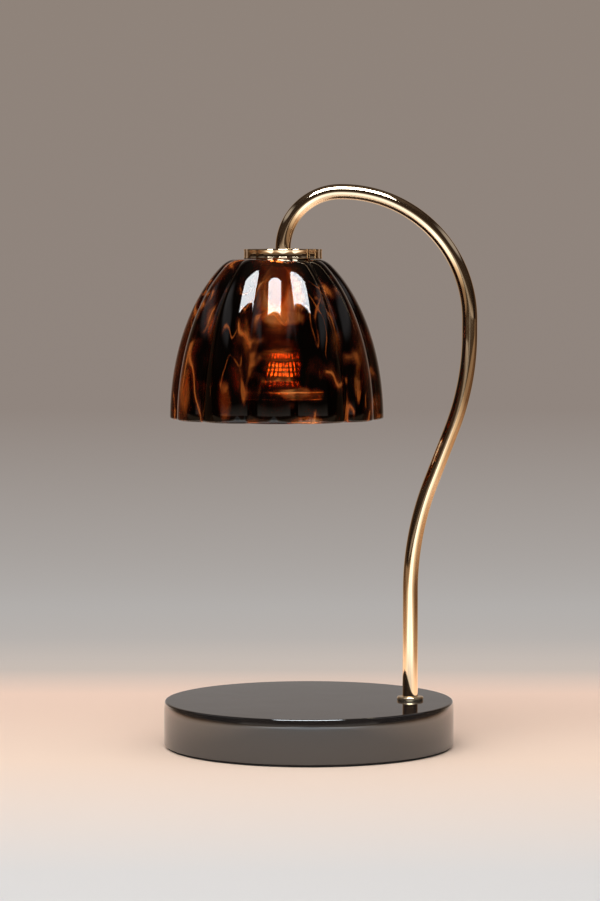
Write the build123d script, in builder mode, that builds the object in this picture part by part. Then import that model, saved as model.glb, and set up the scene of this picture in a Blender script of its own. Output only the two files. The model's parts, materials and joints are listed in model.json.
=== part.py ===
from build123d import *
import math
import os

# Candle warmer lamp: a weighted disc base, a bent brass arm and a fluted glass shade over a GU10 bulb.
# Millimetres, +Z up. The origin is the centre of the foot pad's underside, where the lamp stands.
# The arm bends in the XZ plane: it stands at +X and brings the head back over the base.

# Base
base_d = 150.0
base_h = 22.7
base_top_edge_r = 1.2
base_foot_edge_r = 0.6
pad_t = 1.2
pad_inset = 1.5

# Arm, along its centre line from the foot to the nose
tube_d = 8.0
tube_wall = 1.0
foot_inset = 22.5
foot_rise = 56.6
lower_bend_r = 156.0
lean_angle = 21.2
slope_length = 29.0
upper_bend_r = 136.5
side_length = 7.3
arch_r = 65.8
crown_length = 1.0
nose_bend_r = 29.3

# Arm foot and the hardware under the base
flange_d = 13.7
flange_t = 1.8
flange_edge_r = 0.36
flange_groove = 0.35
stud_d = 10.0
stud_bore = 6.0
solder_gap = 0.02
thread_gap = 0.05
hole_gap = 0.3
roof_t = 6.4
washer_d = 21.0
washer_t = 1.2
lock_washer_d = 16.0
lock_washer_t = 1.6
lock_washer_split = 1.2
arm_nut_af = 14.0
arm_nut_h = 4.0
stud_below_nut = 0.5

# Wiring pocket and its cover
pocket_l = 86.0
pocket_half_w = 13.5
pocket_end_margin = 1.0
pocket_corner_r = 6.0
cover_lip = 4.5
cover_side_lip = 10.5
cover_t = 1.0
cover_gap = 0.25
cover_corner_r = 14.0
screw_head_d = 5.4
screw_head_h = 0.9
screw_cross_l = 3.0
screw_cross_w = 0.75
screw_d = 3.0
cover_screw_l = 7.0
insert_d = 5.5
insert_l = 8.0
insert_wall_gap = 3.3
insert_from_end = 12.0

# Cord entry at the back
cord_bore_d = 7.6
cord_bore_z = 10.4
grommet_flange_d = 12.0
grommet_flange_t = 1.6
grommet_edge_r = 0.5
grommet_l = 12.0
grommet_hole_d = 5.2

# Terminal block
block_l = 16.0
block_w = 17.0
block_h = 12.0
block_from_foot = 32.5
block_axis_h = 3.6
block_slot_w = 2.0
block_slot_d = 5.0
sleeve_pitch = 8.0
sleeve_d = 4.4
sleeve_bore = 2.6
sleeve_l = 14.0
clamp_screw_d = 2.5
clamp_screw_spacing = 7.0
clamp_screw_head_d = 3.6
clamp_screw_sink = 3.0
clamp_slot_w = 0.7
clamp_slot_depth = 0.9
block_screw_d = 2.5
block_screw_l = 7.0

# Wires
wire_d = 1.8
wire_offset = 1.6
wire_foot_bend_r = 3.2
wire_lead_bend_r = 6.0
wire_head_bend_r = 3.0
wire_into_sleeve = 4.5
wire_bend_rise = 0.45

# Head stack, from the cap down
cap_d = 40.6
cap_t = 4.0
cap_skin = 1.4
cap_scallop = 0.75
cap_edge_r = 0.5
nipple_l = 14.1
nipple_socket = 4.0
nipple_mouth = 1.0
silicone_d = 28.0
silicone_lower_t = 1.2
cup_d = 33.0
cup_wall = 0.8
cup_l = 37.0
cup_edge_r = 2.4
strap_t = 1.0
strap_bend_r = 2.5
strap_w = 11.0
strap_side_gap = 2.2
strap_foot = 6.0
head_nut_af = 14.0
head_nut_h = 3.0

# Glass shade
flutes = 12
rim_r = 55.2
shade_h = 83.4
dome_span_ratio = 1.1031
dome_sections = 9
shade_drop = 0.2
shade_shift = 3.3
flute_depth_ratio = 0.068
glass_wall = 3.0
glass_top_t = 3.2
glass_hole_d = 18.0
rim_edge_r = 1.0
shade_turn = -1.7

# GU10 lampholder and bulb
holder_d = 30.0
holder_h = 11.0
holder_drop = 8.6
pin_pitch = 10.0
pin_shank_d = 3.0
pin_head_d = 5.0
pin_l = 7.2
pin_head_h = 3.2
lock_turn = 20.0
slot_gap = 0.3
contact_t = 0.8
contact_gap = 0.1
wire_hole_gap = 0.3
holder_screw_head_h = 2.0
holder_slot_w = 0.9
holder_slot_depth = 1.0
bulb_d = 50.6
bulb_l = 47.0
bulb_rim_h = 3.6
bulb_neck_d = 20.0
bulb_neck_h = 17.0
bulb_shoulder_d = 15.6
bulb_shoulder_h = 4.25
bulb_shoulder_slope = 4.25
reflector_wall = 1.1
lens_t = 1.6
lens_inset = 0.5
capsule_d = 9.0
capsule_l = 20.0
capsule_tip_r = 4.05
capsule_wall = 1.1
filament_d = 1.0
filament_pitch = 3.5
filament_drop = 10.0

# Worked-out levels and places
base_bottom_z = pad_t
base_top_z = base_bottom_z + base_h
foot_x = base_d / 2 - foot_inset
roof_z = base_top_z - roof_t
cover_top_z = base_bottom_z + screw_head_h + cover_t
stud_end_z = roof_z - washer_t - lock_washer_t - arm_nut_h - stud_below_nut
pocket_right = foot_x + washer_d / 2 + pocket_end_margin
pocket_left = pocket_right - pocket_l
block_x = foot_x - block_from_foot
wire_run_z = cover_top_z + block_axis_h
lean = math.radians(lean_angle)
side_x = foot_x + (lower_bend_r + upper_bend_r) * (1 - math.cos(lean)) + slope_length * math.sin(lean)
head_x = side_x - arch_r - crown_length - nose_bend_r
lean_top_z = (
    base_top_z + foot_rise + (lower_bend_r + upper_bend_r) * math.sin(lean) + slope_length * math.cos(lean)
)
crown_z = lean_top_z + side_length + arch_r
cap_top_z = crown_z - nose_bend_r
shade_x = head_x - shade_shift
shade_top_z = cap_top_z - cap_t - shade_drop
dome_span = shade_h * dome_span_ratio
rim_z = shade_top_z - shade_h
glass_under_z = shade_top_z - glass_top_t
cup_top_z = glass_under_z - silicone_lower_t
strap_top_z = cup_top_z - cup_wall
strap_span = cup_d - 2 * (cup_wall + strap_side_gap)
holder_screw_pitch = strap_span - strap_foot
nut_top_z = strap_top_z - strap_t
nipple_end_z = cap_top_z - nipple_l
holder_top_z = nut_top_z - holder_drop
seat_z = holder_top_z - holder_h
bulb_front_z = seat_z - bulb_l

os.makedirs("parts", exist_ok=True)


def save(builder, name):
    """Labels a finished piece and writes it as its own file."""
    builder.part.label = name
    export_step(builder.part, f"parts/{name}.step")


def arm_centre_line(y, start_z, end_z):
    """The arm's bends at a sideways offset y, from start_z at the foot to end_z under the nose."""
    with BuildLine(Plane.XZ.offset(-y)) as route:
        foot = Line((foot_x, start_z), (foot_x, base_top_z + foot_rise))
        lower = JernArc(foot @ 1, foot % 1, lower_bend_r, -lean_angle)
        slope = PolarLine(lower @ 1, slope_length, direction=lower % 1)
        upper = JernArc(slope @ 1, slope % 1, upper_bend_r, lean_angle)
        side = PolarLine(upper @ 1, side_length, direction=upper % 1)
        arch = JernArc(side @ 1, side % 1, arch_r, 90)
        crown = PolarLine(arch @ 1, crown_length, direction=arch % 1)
        nose = JernArc(crown @ 1, crown % 1, nose_bend_r, 90)
        PolarLine(nose @ 1, cap_top_z - end_z, direction=nose % 1)
    return route.line


def scalloped_outline(radius, depth, x, z, turn=0.0):
    """Flat outline of convex lobes that meet in sharp valleys, one lobe towards the front."""
    half = 180 / flutes
    centre = Vector(x, 0, 0)
    with BuildSketch(Plane.XY.offset(z)) as outline:
        with BuildLine():
            for k in range(flutes):
                angle = turn + 2 * half * k
                crest = centre + Vector(radius, 0, 0).rotate(Axis.Z, angle)
                start = centre + Vector(radius - depth, 0, 0).rotate(Axis.Z, angle - half)
                end = centre + Vector(radius - depth, 0, 0).rotate(Axis.Z, angle + half)
                ThreePointArc(start, crest, end)
        make_face()
    return outline.sketch


def ring(name, x, bottom_z, height, outer_d, inner_d):
    """A plain washer standing on bottom_z."""
    with BuildPart() as washer:
        with BuildSketch(Plane.XY.offset(bottom_z)):
            with Locations((x, 0)):
                Circle(outer_d / 2)
                Circle(inner_d / 2, mode=Mode.SUBTRACT)
        extrude(amount=height)
    save(washer, name)


def hex_nut(name, x, bottom_z, height, across_flats, bore_d):
    """A hexagon nut with its corners turned off above and below."""
    corner_r = across_flats / 2 / math.cos(math.pi / 6)
    turned_off = corner_r - across_flats / 2
    with BuildPart() as blank:
        with Locations((x, 0, bottom_z)):
            Cylinder(corner_r, height, align=(Align.CENTER, Align.CENTER, Align.MIN))
        chamfer(blank.edges().filter_by(GeomType.CIRCLE), turned_off / 2)
    with BuildPart() as nut:
        with BuildSketch(Plane.XY.offset(bottom_z)):
            with Locations((x, 0)):
                RegularPolygon(across_flats / 2, 6, major_radius=False)
                Circle(bore_d / 2, mode=Mode.SUBTRACT)
        extrude(amount=height)
        add(blank.part, mode=Mode.INTERSECT)
    save(nut, name)


def mirrored_pair(distance):
    """The two places at plus and minus a distance in Y."""
    return (distance, -distance)


# Base
insert_y = pocket_half_w + insert_wall_gap + insert_d / 2
insert_spots = [
    (x, y)
    for x in (pocket_left + insert_from_end, pocket_right - insert_from_end)
    for y in mirrored_pair(insert_y)
]
pocket_mid_x = (pocket_left + pocket_right) / 2
rebate_l = pocket_l + 2 * cover_lip
rebate_w = 2 * (pocket_half_w + cover_side_lip)

with BuildPart() as base_disc:
    with BuildSketch(Plane.XY.offset(base_bottom_z)):
        Circle(base_d / 2)
    extrude(amount=base_h)
    fillet(base_disc.edges().group_by(Axis.Z)[-1], base_top_edge_r)
    fillet(base_disc.edges().group_by(Axis.Z)[0], base_foot_edge_r)
    # rebate for the cover, then the pocket above it
    with BuildSketch(Plane.XY.offset(base_bottom_z)):
        with Locations((pocket_mid_x, 0)):
            RectangleRounded(rebate_l, rebate_w, cover_corner_r)
    extrude(amount=cover_top_z - base_bottom_z, mode=Mode.SUBTRACT)
    with BuildSketch(Plane.XY.offset(cover_top_z)):
        with Locations((pocket_mid_x, 0)):
            RectangleRounded(pocket_l, 2 * pocket_half_w, pocket_corner_r)
    extrude(amount=roof_z - cover_top_z, mode=Mode.SUBTRACT)
    # hole for the arm's threaded tail
    with BuildSketch(Plane.XY.offset(roof_z)):
        with Locations((foot_x, 0)):
            Circle(stud_d / 2 + hole_gap)
    extrude(amount=roof_t, mode=Mode.SUBTRACT)
    # holes for the threaded inserts
    with BuildSketch(Plane.XY.offset(cover_top_z)):
        with Locations(insert_spots):
            Circle(insert_d / 2 + thread_gap)
    extrude(amount=insert_l, mode=Mode.SUBTRACT)
    # cord bore from the back into the pocket
    with BuildSketch(Plane.XZ.offset(-base_d / 2)):
        with Locations((0, cord_bore_z)):
            Circle(cord_bore_d / 2)
    extrude(amount=base_d / 2 - pocket_half_w, mode=Mode.SUBTRACT)
save(base_disc, "base_disc")

with BuildPart() as foot_pad:
    with BuildSketch():
        Circle(base_d / 2 - pad_inset)
    extrude(amount=pad_t)
save(foot_pad, "foot_pad")

cover_bottom_z = cover_top_z - cover_t
with BuildPart() as pocket_cover:
    with BuildSketch(Plane.XY.offset(cover_bottom_z)):
        with Locations((pocket_mid_x, 0)):
            RectangleRounded(
                rebate_l - 2 * cover_gap, rebate_w - 2 * cover_gap, cover_corner_r - cover_gap
            )
        with Locations(insert_spots):
            Circle(screw_d / 2 + cover_gap, mode=Mode.SUBTRACT)
        with Locations((block_x, 0)):
            Circle(block_screw_d / 2 + cover_gap, mode=Mode.SUBTRACT)
    extrude(amount=cover_t)
save(pocket_cover, "pocket_cover")


def wafer_screws(name, spots, shank_d, shank_l):
    """Flat-headed screws driven up from below the cover, with a cross cut in each head."""
    with BuildPart() as screws:
        with BuildSketch(Plane.XY.offset(cover_bottom_z - screw_head_h)):
            with Locations(spots):
                Circle(screw_head_d / 2)
        extrude(amount=screw_head_h)
        with BuildSketch(Plane.XY.offset(cover_bottom_z)):
            with Locations(spots):
                Circle(shank_d / 2 - thread_gap)
        extrude(amount=shank_l)
        with BuildSketch(Plane.XY.offset(cover_bottom_z - screw_head_h)):
            with Locations(spots):
                Rectangle(screw_cross_l, screw_cross_w)
                Rectangle(screw_cross_w, screw_cross_l)
        extrude(amount=screw_head_h / 2, mode=Mode.SUBTRACT)
    save(screws, name)


wafer_screws("cover_screws", insert_spots, screw_d, cover_screw_l)
wafer_screws("block_screw", [(block_x, 0)], block_screw_d, block_screw_l)

with BuildPart() as cover_inserts:
    with BuildSketch(Plane.XY.offset(cover_top_z)):
        with Locations(insert_spots):
            Circle(insert_d / 2)
            Circle(screw_d / 2, mode=Mode.SUBTRACT)
    extrude(amount=insert_l)
save(cover_inserts, "cover_inserts")

# rubber bush in the mouth of the cord bore, its flange outside
back_y = base_d / 2
with BuildPart() as cord_grommet:
    with BuildSketch(Plane.XZ.offset(-back_y)):
        with Locations((0, cord_bore_z)):
            Circle(cord_bore_d / 2 - thread_gap)
    extrude(amount=grommet_l)
    with BuildSketch(Plane.XZ.offset(-back_y)):
        with Locations((0, cord_bore_z)):
            Circle(grommet_flange_d / 2)
    extrude(amount=-grommet_flange_t)
    fillet(cord_grommet.edges().group_by(Axis.Y)[-1], grommet_edge_r)
    with BuildSketch(Plane.XZ.offset(-back_y - grommet_flange_t)):
        with Locations((0, cord_bore_z)):
            Circle(grommet_hole_d / 2)
    extrude(amount=grommet_l + grommet_flange_t, mode=Mode.SUBTRACT)
save(cord_grommet, "cord_grommet")

# Arm foot
tube_seat_z = roof_z
with BuildPart() as foot_flange:
    with BuildSketch(Plane.XY.offset(base_top_z)):
        with Locations((foot_x, 0)):
            Circle(flange_d / 2)
    extrude(amount=flange_t)
    fillet(foot_flange.edges().group_by(Axis.Z)[-1], flange_edge_r)
    with BuildSketch(Plane.XY.offset(base_top_z + flange_t / 2 - flange_groove / 2)):
        with Locations((foot_x, 0)):
            Circle(flange_d / 2)
            Circle(flange_d / 2 - flange_groove, mode=Mode.SUBTRACT)
    extrude(amount=flange_groove, mode=Mode.SUBTRACT)
    with BuildSketch(Plane.XY.offset(stud_end_z)):
        with Locations((foot_x, 0)):
            Circle(stud_d / 2)
    extrude(amount=base_top_z - stud_end_z)
    with BuildSketch(Plane.XY.offset(stud_end_z)):
        with Locations((foot_x, 0)):
            Circle(stud_bore / 2)
    extrude(amount=tube_seat_z - stud_end_z, mode=Mode.SUBTRACT)
    with BuildSketch(Plane.XY.offset(tube_seat_z)):
        with Locations((foot_x, 0)):
            Circle(tube_d / 2 + solder_gap)
    extrude(amount=base_top_z + flange_t - tube_seat_z, mode=Mode.SUBTRACT)
save(foot_flange, "foot_flange")

tail_hole_d = stud_d + 2 * thread_gap
ring("arm_washer", foot_x, roof_z - washer_t, washer_t, washer_d, tail_hole_d)
lock_top_z = roof_z - washer_t
with BuildPart() as arm_lock_washer:
    with BuildSketch(Plane.XY.offset(lock_top_z - lock_washer_t)):
        with Locations((foot_x, 0)):
            Circle(lock_washer_d / 2)
            Circle(tail_hole_d / 2, mode=Mode.SUBTRACT)
        with Locations((foot_x - lock_washer_d / 4, 0)):
            Rectangle(lock_washer_d / 2, lock_washer_split, mode=Mode.SUBTRACT)
    extrude(amount=lock_washer_t)
save(arm_lock_washer, "arm_lock_washer")
arm_nut_z = lock_top_z - lock_washer_t - arm_nut_h
hex_nut("arm_nut", foot_x, arm_nut_z, arm_nut_h, arm_nut_af, tail_hole_d)

# Arm
nose_end_z = cap_top_z - nipple_socket
arm_line = arm_centre_line(0, tube_seat_z, nose_end_z)
with BuildPart() as arm_tube:
    with BuildSketch(Plane(arm_line @ 0, z_dir=arm_line % 0)):
        Circle(tube_d / 2)
        Circle(tube_d / 2 - tube_wall, mode=Mode.SUBTRACT)
    sweep(path=arm_line)
save(arm_tube, "arm_tube")

# Terminal block
block_bottom_z = cover_top_z
screw_xs = (block_x - clamp_screw_spacing / 2, block_x + clamp_screw_spacing / 2)
clamp_spots = [(x, y) for x in screw_xs for y in mirrored_pair(sleeve_pitch / 2)]
tip_z = wire_run_z + wire_d / 2
block_top_z = block_bottom_z + block_h
clamp_head_z = block_top_z - clamp_screw_sink

with BuildPart() as terminal_block:
    with BuildSketch(Plane.XY.offset(block_bottom_z)):
        with Locations((block_x, 0)):
            RectangleRounded(block_l, block_w, block_slot_w / 2)
    extrude(amount=block_h)
    # gap between the two poles
    with BuildSketch(Plane.XY.offset(block_top_z - block_slot_d)):
        with Locations((block_x, 0)):
            Rectangle(block_l, block_slot_w)
    extrude(amount=block_slot_d, mode=Mode.SUBTRACT)
    with BuildSketch(Plane.YZ.offset(block_x - block_l / 2)):
        with Locations(*[(y, wire_run_z) for y in mirrored_pair(sleeve_pitch / 2)]):
            Circle(sleeve_d / 2 + thread_gap)
    extrude(amount=block_l, mode=Mode.SUBTRACT)
    with BuildSketch(Plane.XY.offset(wire_run_z)):
        with Locations(clamp_spots):
            Circle(clamp_screw_head_d / 2 + thread_gap)
    extrude(amount=block_top_z - wire_run_z, mode=Mode.SUBTRACT)
    with BuildSketch(Plane.XY.offset(block_bottom_z)):
        with Locations((block_x, 0)):
            Circle(block_screw_d / 2)
    extrude(amount=block_screw_l - cover_t + thread_gap, mode=Mode.SUBTRACT)
save(terminal_block, "terminal_block")

with BuildPart() as terminal_sleeves:
    with BuildSketch(Plane.YZ.offset(block_x - sleeve_l / 2)):
        with Locations(*[(y, wire_run_z) for y in mirrored_pair(sleeve_pitch / 2)]):
            Circle(sleeve_d / 2)
            Circle(sleeve_bore / 2, mode=Mode.SUBTRACT)
    extrude(amount=sleeve_l)
    with BuildSketch(Plane.XY.offset(wire_run_z)):
        with Locations(clamp_spots):
            Circle(clamp_screw_d / 2 + thread_gap)
    extrude(amount=sleeve_d, mode=Mode.SUBTRACT)
save(terminal_sleeves, "terminal_sleeves")

with BuildPart() as terminal_screws:
    with BuildSketch(Plane.XY.offset(tip_z)):
        with Locations(clamp_spots):
            Circle(clamp_screw_d / 2)
    extrude(amount=clamp_head_z - tip_z)
    head_bottom_z = wire_run_z + sleeve_d / 2 + hole_gap
    with BuildSketch(Plane.XY.offset(head_bottom_z)):
        with Locations(clamp_spots):
            Circle(clamp_screw_head_d / 2)
    extrude(amount=clamp_head_z - head_bottom_z)
    with BuildSketch(Plane.XY.offset(clamp_head_z)):
        with Locations(clamp_spots):
            Rectangle(clamp_screw_head_d, clamp_slot_w)
    extrude(amount=-clamp_slot_depth, mode=Mode.SUBTRACT)
save(terminal_screws, "terminal_screws")

# Wires
contact_top_z = seat_z + pin_l + contact_gap + contact_t
lead_out_x = block_x + block_l / 2


def wire(name, side):
    """One wire from its terminal sleeve, round under the arm and all the way up to its contact."""
    inner_y = side * wire_offset
    sleeve_y = side * sleeve_pitch / 2
    pin_y = side * pin_pitch / 2
    spread_end_x = (lead_out_x + foot_x) / 2
    with BuildLine() as foot_lead:
        FilletPolyline(
            (block_x + sleeve_l / 2 - wire_into_sleeve, sleeve_y, wire_run_z),
            (lead_out_x + wire_d, sleeve_y, wire_run_z),
            (spread_end_x, inner_y, wire_run_z),
            (foot_x, inner_y, wire_run_z),
            (foot_x, inner_y, roof_z),
            radius=[wire_lead_bend_r, wire_lead_bend_r, wire_foot_bend_r],
        )
    with BuildLine() as head_lead:
        FilletPolyline(
            (head_x, inner_y, nose_end_z),
            (head_x, inner_y, nipple_end_z + wire_bend_rise),
            (head_x, pin_y, holder_top_z + wire_d),
            (head_x, pin_y, contact_top_z),
            radius=wire_head_bend_r,
        )
    with BuildLine() as route:
        add(foot_lead.line)
        add(arm_centre_line(inner_y, roof_z, nose_end_z))
        add(head_lead.line)
    with BuildPart() as lead:
        with BuildSketch(Plane(foot_lead.line @ 0, z_dir=foot_lead.line % 0)):
            Circle(wire_d / 2)
        sweep(path=route.line)
    save(lead, name)
    length = sum(edge.length for edge in route.line.edges())
    swept = lead.part.volume / (math.pi * wire_d**2 / 4)
    print(f"{name}: {length:.1f} mm long, its volume fills {swept:.1f} mm of wire")


wire("wire_live", 1)
wire("wire_neutral", -1)

# Head: cap, glass and clamp
with BuildPart() as head_nipple:
    with BuildSketch(Plane.XY.offset(nipple_end_z)):
        with Locations((head_x, 0)):
            Circle(stud_d / 2)
            Circle(stud_bore / 2, mode=Mode.SUBTRACT)
    extrude(amount=nose_end_z - nipple_end_z)
    chamfer(
        head_nipple.edges().group_by(Axis.Z)[0].filter_by(lambda e: e.radius < stud_d / 2 - nipple_mouth),
        nipple_mouth,
    )
    with BuildSketch(Plane.XY.offset(nose_end_z)):
        with Locations((head_x, 0)):
            Circle(stud_d / 2)
            Circle(tube_d / 2 + solder_gap, mode=Mode.SUBTRACT)
    extrude(amount=nipple_socket)
save(head_nipple, "head_nipple")

cap_bottom_z = cap_top_z - cap_t
with BuildPart() as cap_plate:
    add(scalloped_outline(cap_d / 2, cap_scallop, head_x, cap_bottom_z))
    extrude(amount=cap_t)
    fillet(cap_plate.edges().group_by(Axis.Z)[-1], cap_edge_r)
    with BuildSketch(Plane.XY.offset(cap_bottom_z)):
        with Locations((head_x, 0)):
            Circle(cap_d / 2 - cap_scallop - cap_skin)
    extrude(amount=cap_t - cap_skin, mode=Mode.SUBTRACT)
    with BuildSketch(Plane.XY.offset(cap_top_z)):
        with Locations((head_x, 0)):
            Circle(stud_d / 2 + thread_gap)
    extrude(amount=-cap_skin, mode=Mode.SUBTRACT)
save(cap_plate, "cap_plate")

upper_washer_t = cap_t + shade_drop - cap_skin
ring("upper_washer", head_x, shade_top_z, upper_washer_t, silicone_d, tail_hole_d)
ring("lower_washer", head_x, cup_top_z, silicone_lower_t, silicone_d, tail_hole_d)


def dome_radius(height):
    """Crest radius of the glass outside, at a height above the rim."""
    return rim_r * math.sqrt(1 - (height / dome_span) ** 2)


def inside_radius(height):
    """Crest radius of the glass inside, one wall in from the outside, measured square to it."""
    slope = rim_r**2 * height / (dome_span**2 * dome_radius(height))
    return dome_radius(height) - glass_wall * math.sqrt(1 + slope**2)


def fluted_dome(radius_at, bottom, top):
    """A solid lofted through fluted sections between two heights above the rim, closer near the top."""
    sections = []
    for k in range(dome_sections):
        height = bottom + (top - bottom) * math.sin(math.pi / 2 * k / (dome_sections - 1))
        radius = radius_at(height)
        depth = radius * flute_depth_ratio
        sections.append(scalloped_outline(radius, depth, shade_x, rim_z + height, shade_turn))
    return loft(sections)


with BuildPart() as shade:
    add(fluted_dome(dome_radius, 0, shade_h))
    fillet(shade.edges().group_by(Axis.Z)[-1], glass_top_t / 2)
    add(fluted_dome(inside_radius, 0, shade_h - glass_top_t), mode=Mode.SUBTRACT)
    fillet(shade.edges().group_by(Axis.Z)[0], rim_edge_r)
    with BuildSketch(Plane.XY.offset(shade_top_z)):
        with Locations((shade_x, 0)):
            Circle(glass_hole_d / 2)
    extrude(amount=-glass_top_t, mode=Mode.SUBTRACT)
save(shade, "shade")

cup_r = cup_d / 2
with BuildPart() as socket_cup:
    with BuildSketch(Plane.XY.offset(cup_top_z - cup_l)):
        with Locations((head_x, 0)):
            Circle(cup_r)
    extrude(amount=cup_l)
    fillet(socket_cup.edges().group_by(Axis.Z)[-1], cup_edge_r)
    offset(amount=-cup_wall, openings=socket_cup.faces().sort_by(Axis.Z)[0])
    with BuildSketch(Plane.XY.offset(cup_top_z)):
        with Locations((head_x, 0)):
            Circle(stud_d / 2 + thread_gap)
    extrude(amount=-cup_wall, mode=Mode.SUBTRACT)
save(socket_cup, "socket_cup")

hex_nut("head_nut", head_x, nut_top_z - head_nut_h, head_nut_h, head_nut_af, tail_hole_d)

# steel strap clamped under the cup, its legs turned in to carry the lampholder
half_span = strap_span / 2
with BuildPart() as holder_strap:
    with BuildSketch(Plane.XZ.offset(-strap_w / 2)):
        with BuildLine():
            Polyline(
                (head_x - half_span + strap_foot, holder_top_z),
                (head_x - half_span, holder_top_z),
                (head_x - half_span, strap_top_z),
                (head_x + half_span, strap_top_z),
                (head_x + half_span, holder_top_z),
                (head_x + half_span - strap_foot, holder_top_z),
                (head_x + half_span - strap_foot, holder_top_z + strap_t),
                (head_x + half_span - strap_t, holder_top_z + strap_t),
                (head_x + half_span - strap_t, strap_top_z - strap_t),
                (head_x - half_span + strap_t, strap_top_z - strap_t),
                (head_x - half_span + strap_t, holder_top_z + strap_t),
                (head_x - half_span + strap_foot, holder_top_z + strap_t),
                close=True,
            )
        make_face()
    extrude(amount=strap_w)
    bends = holder_strap.edges().filter_by(Axis.Y)
    fillet(bends.filter_by(lambda e: abs(e.center().Z - strap_top_z) < strap_t / 2), strap_bend_r)
    fillet(
        holder_strap.edges()
        .filter_by(Axis.Y)
        .filter_by(lambda e: abs(e.center().Z - strap_top_z + strap_t) < strap_t / 2)
        .filter_by(lambda e: abs(abs(e.center().X - head_x) - half_span + strap_t) < strap_t / 2),
        strap_bend_r - strap_t,
    )
    with BuildSketch(Plane.XY.offset(strap_top_z)):
        with Locations((head_x, 0)):
            Circle(stud_d / 2 + thread_gap)
    extrude(amount=-strap_t, mode=Mode.SUBTRACT)
    with BuildSketch(Plane.XY.offset(holder_top_z)):
        with Locations((head_x - holder_screw_pitch / 2, 0), (head_x + holder_screw_pitch / 2, 0)):
            Circle(screw_d / 2)
    extrude(amount=strap_t, mode=Mode.SUBTRACT)
save(holder_strap, "holder_strap")

# Lampholder
head_axis_plane = Plane((head_x, 0, seat_z))
pin_r = pin_pitch / 2
shelf_t = pin_l - pin_head_h - slot_gap
chamber_top = pin_l + contact_gap + contact_t


def pin_tracks(height, width):
    """Flat outline of the two curved tracks of the bayonet pins, at a height above the seat."""
    with BuildSketch(head_axis_plane.offset(height)) as tracks:
        for start in (90, 270):
            arc = Edge.make_circle(pin_r, start_angle=start - lock_turn, end_angle=start)
            SlotArc(arc, width)
    return tracks.sketch


with BuildPart() as lampholder:
    with BuildSketch(head_axis_plane):
        Circle(holder_d / 2)
    extrude(amount=holder_h)
    chamfer(lampholder.edges().filter_by(GeomType.CIRCLE), hole_gap)
    add(pin_tracks(0, pin_shank_d + 2 * slot_gap))
    extrude(amount=shelf_t, mode=Mode.SUBTRACT)
    add(pin_tracks(shelf_t, pin_head_d + 2 * slot_gap))
    extrude(amount=chamber_top - shelf_t, mode=Mode.SUBTRACT)
    # round mouths where the pin heads go in
    with BuildSketch(head_axis_plane):
        with PolarLocations(pin_r, 2, start_angle=90 - lock_turn):
            Circle(pin_head_d / 2 + slot_gap)
    extrude(amount=shelf_t, mode=Mode.SUBTRACT)
    with BuildSketch(head_axis_plane.offset(chamber_top)):
        with PolarLocations(pin_r, 2, start_angle=90):
            Circle(wire_d / 2 + wire_hole_gap)
    extrude(amount=holder_h - chamber_top, mode=Mode.SUBTRACT)
    with BuildSketch(head_axis_plane):
        with PolarLocations(holder_screw_pitch / 2, 2):
            Circle(screw_d / 2 + hole_gap)
    extrude(amount=holder_h, mode=Mode.SUBTRACT)
    with BuildSketch(head_axis_plane):
        with PolarLocations(holder_screw_pitch / 2, 2):
            Circle(screw_head_d / 2 + hole_gap)
    extrude(amount=holder_screw_head_h + hole_gap, mode=Mode.SUBTRACT)
save(lampholder, "lampholder")

with BuildPart() as holder_contacts:
    add(pin_tracks(chamber_top - contact_t, pin_head_d + 2 * slot_gap - 2 * thread_gap))
    extrude(amount=contact_t)
save(holder_contacts, "holder_contacts")

screw_seat = holder_screw_head_h + hole_gap
with BuildPart() as holder_screws:
    with BuildSketch(head_axis_plane.offset(hole_gap)):
        with PolarLocations(holder_screw_pitch / 2, 2):
            Circle(screw_head_d / 2)
    extrude(amount=holder_screw_head_h)
    with BuildSketch(head_axis_plane.offset(screw_seat)):
        with PolarLocations(holder_screw_pitch / 2, 2):
            Circle(screw_d / 2 - thread_gap)
    extrude(amount=holder_h + strap_t + hole_gap - screw_seat)
    with BuildSketch(head_axis_plane.offset(hole_gap)):
        with PolarLocations(holder_screw_pitch / 2, 2):
            Rectangle(screw_head_d, holder_slot_w)
    extrude(amount=holder_slot_depth, mode=Mode.SUBTRACT)
save(holder_screws, "holder_screws")

# Bulb
neck_r = bulb_neck_d / 2
neck_z = seat_z - bulb_neck_h
rim_top_z = bulb_front_z + bulb_rim_h
with BuildPart() as bulb_base:
    with BuildSketch(Plane.XZ):
        with BuildLine():
            Polyline(
                (head_x, seat_z),
                (head_x + bulb_shoulder_d / 2, seat_z),
                (head_x + bulb_shoulder_d / 2, seat_z - bulb_shoulder_h),
                (head_x + neck_r, seat_z - bulb_shoulder_h - bulb_shoulder_slope),
                (head_x + neck_r, neck_z),
                (head_x, neck_z),
                close=True,
            )
        make_face()
    revolve(axis=Axis((head_x, 0, 0), (0, 0, 1)))
save(bulb_base, "bulb_base")

with BuildPart() as bulb_pins:
    with BuildSketch(head_axis_plane):
        with PolarLocations(pin_r, 2, start_angle=90):
            Circle(pin_shank_d / 2)
    extrude(amount=pin_l)
    with BuildSketch(head_axis_plane.offset(pin_l - pin_head_h)):
        with PolarLocations(pin_r, 2, start_angle=90):
            Circle(pin_head_d / 2)
    extrude(amount=pin_head_h)
save(bulb_pins, "bulb_pins")


def reflector_curve(inset):
    """Three points (radius, z) of the reflector's parabola, moved in by inset."""
    top_r = neck_r - reflector_wall / 2
    bottom_r = bulb_d / 2
    middle_r = math.sqrt((top_r**2 + bottom_r**2) / 2)
    middle_z = (neck_z + rim_top_z) / 2
    return [(top_r - inset, neck_z), (middle_r - inset, middle_z), (bottom_r - inset, rim_top_z)]


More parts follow.
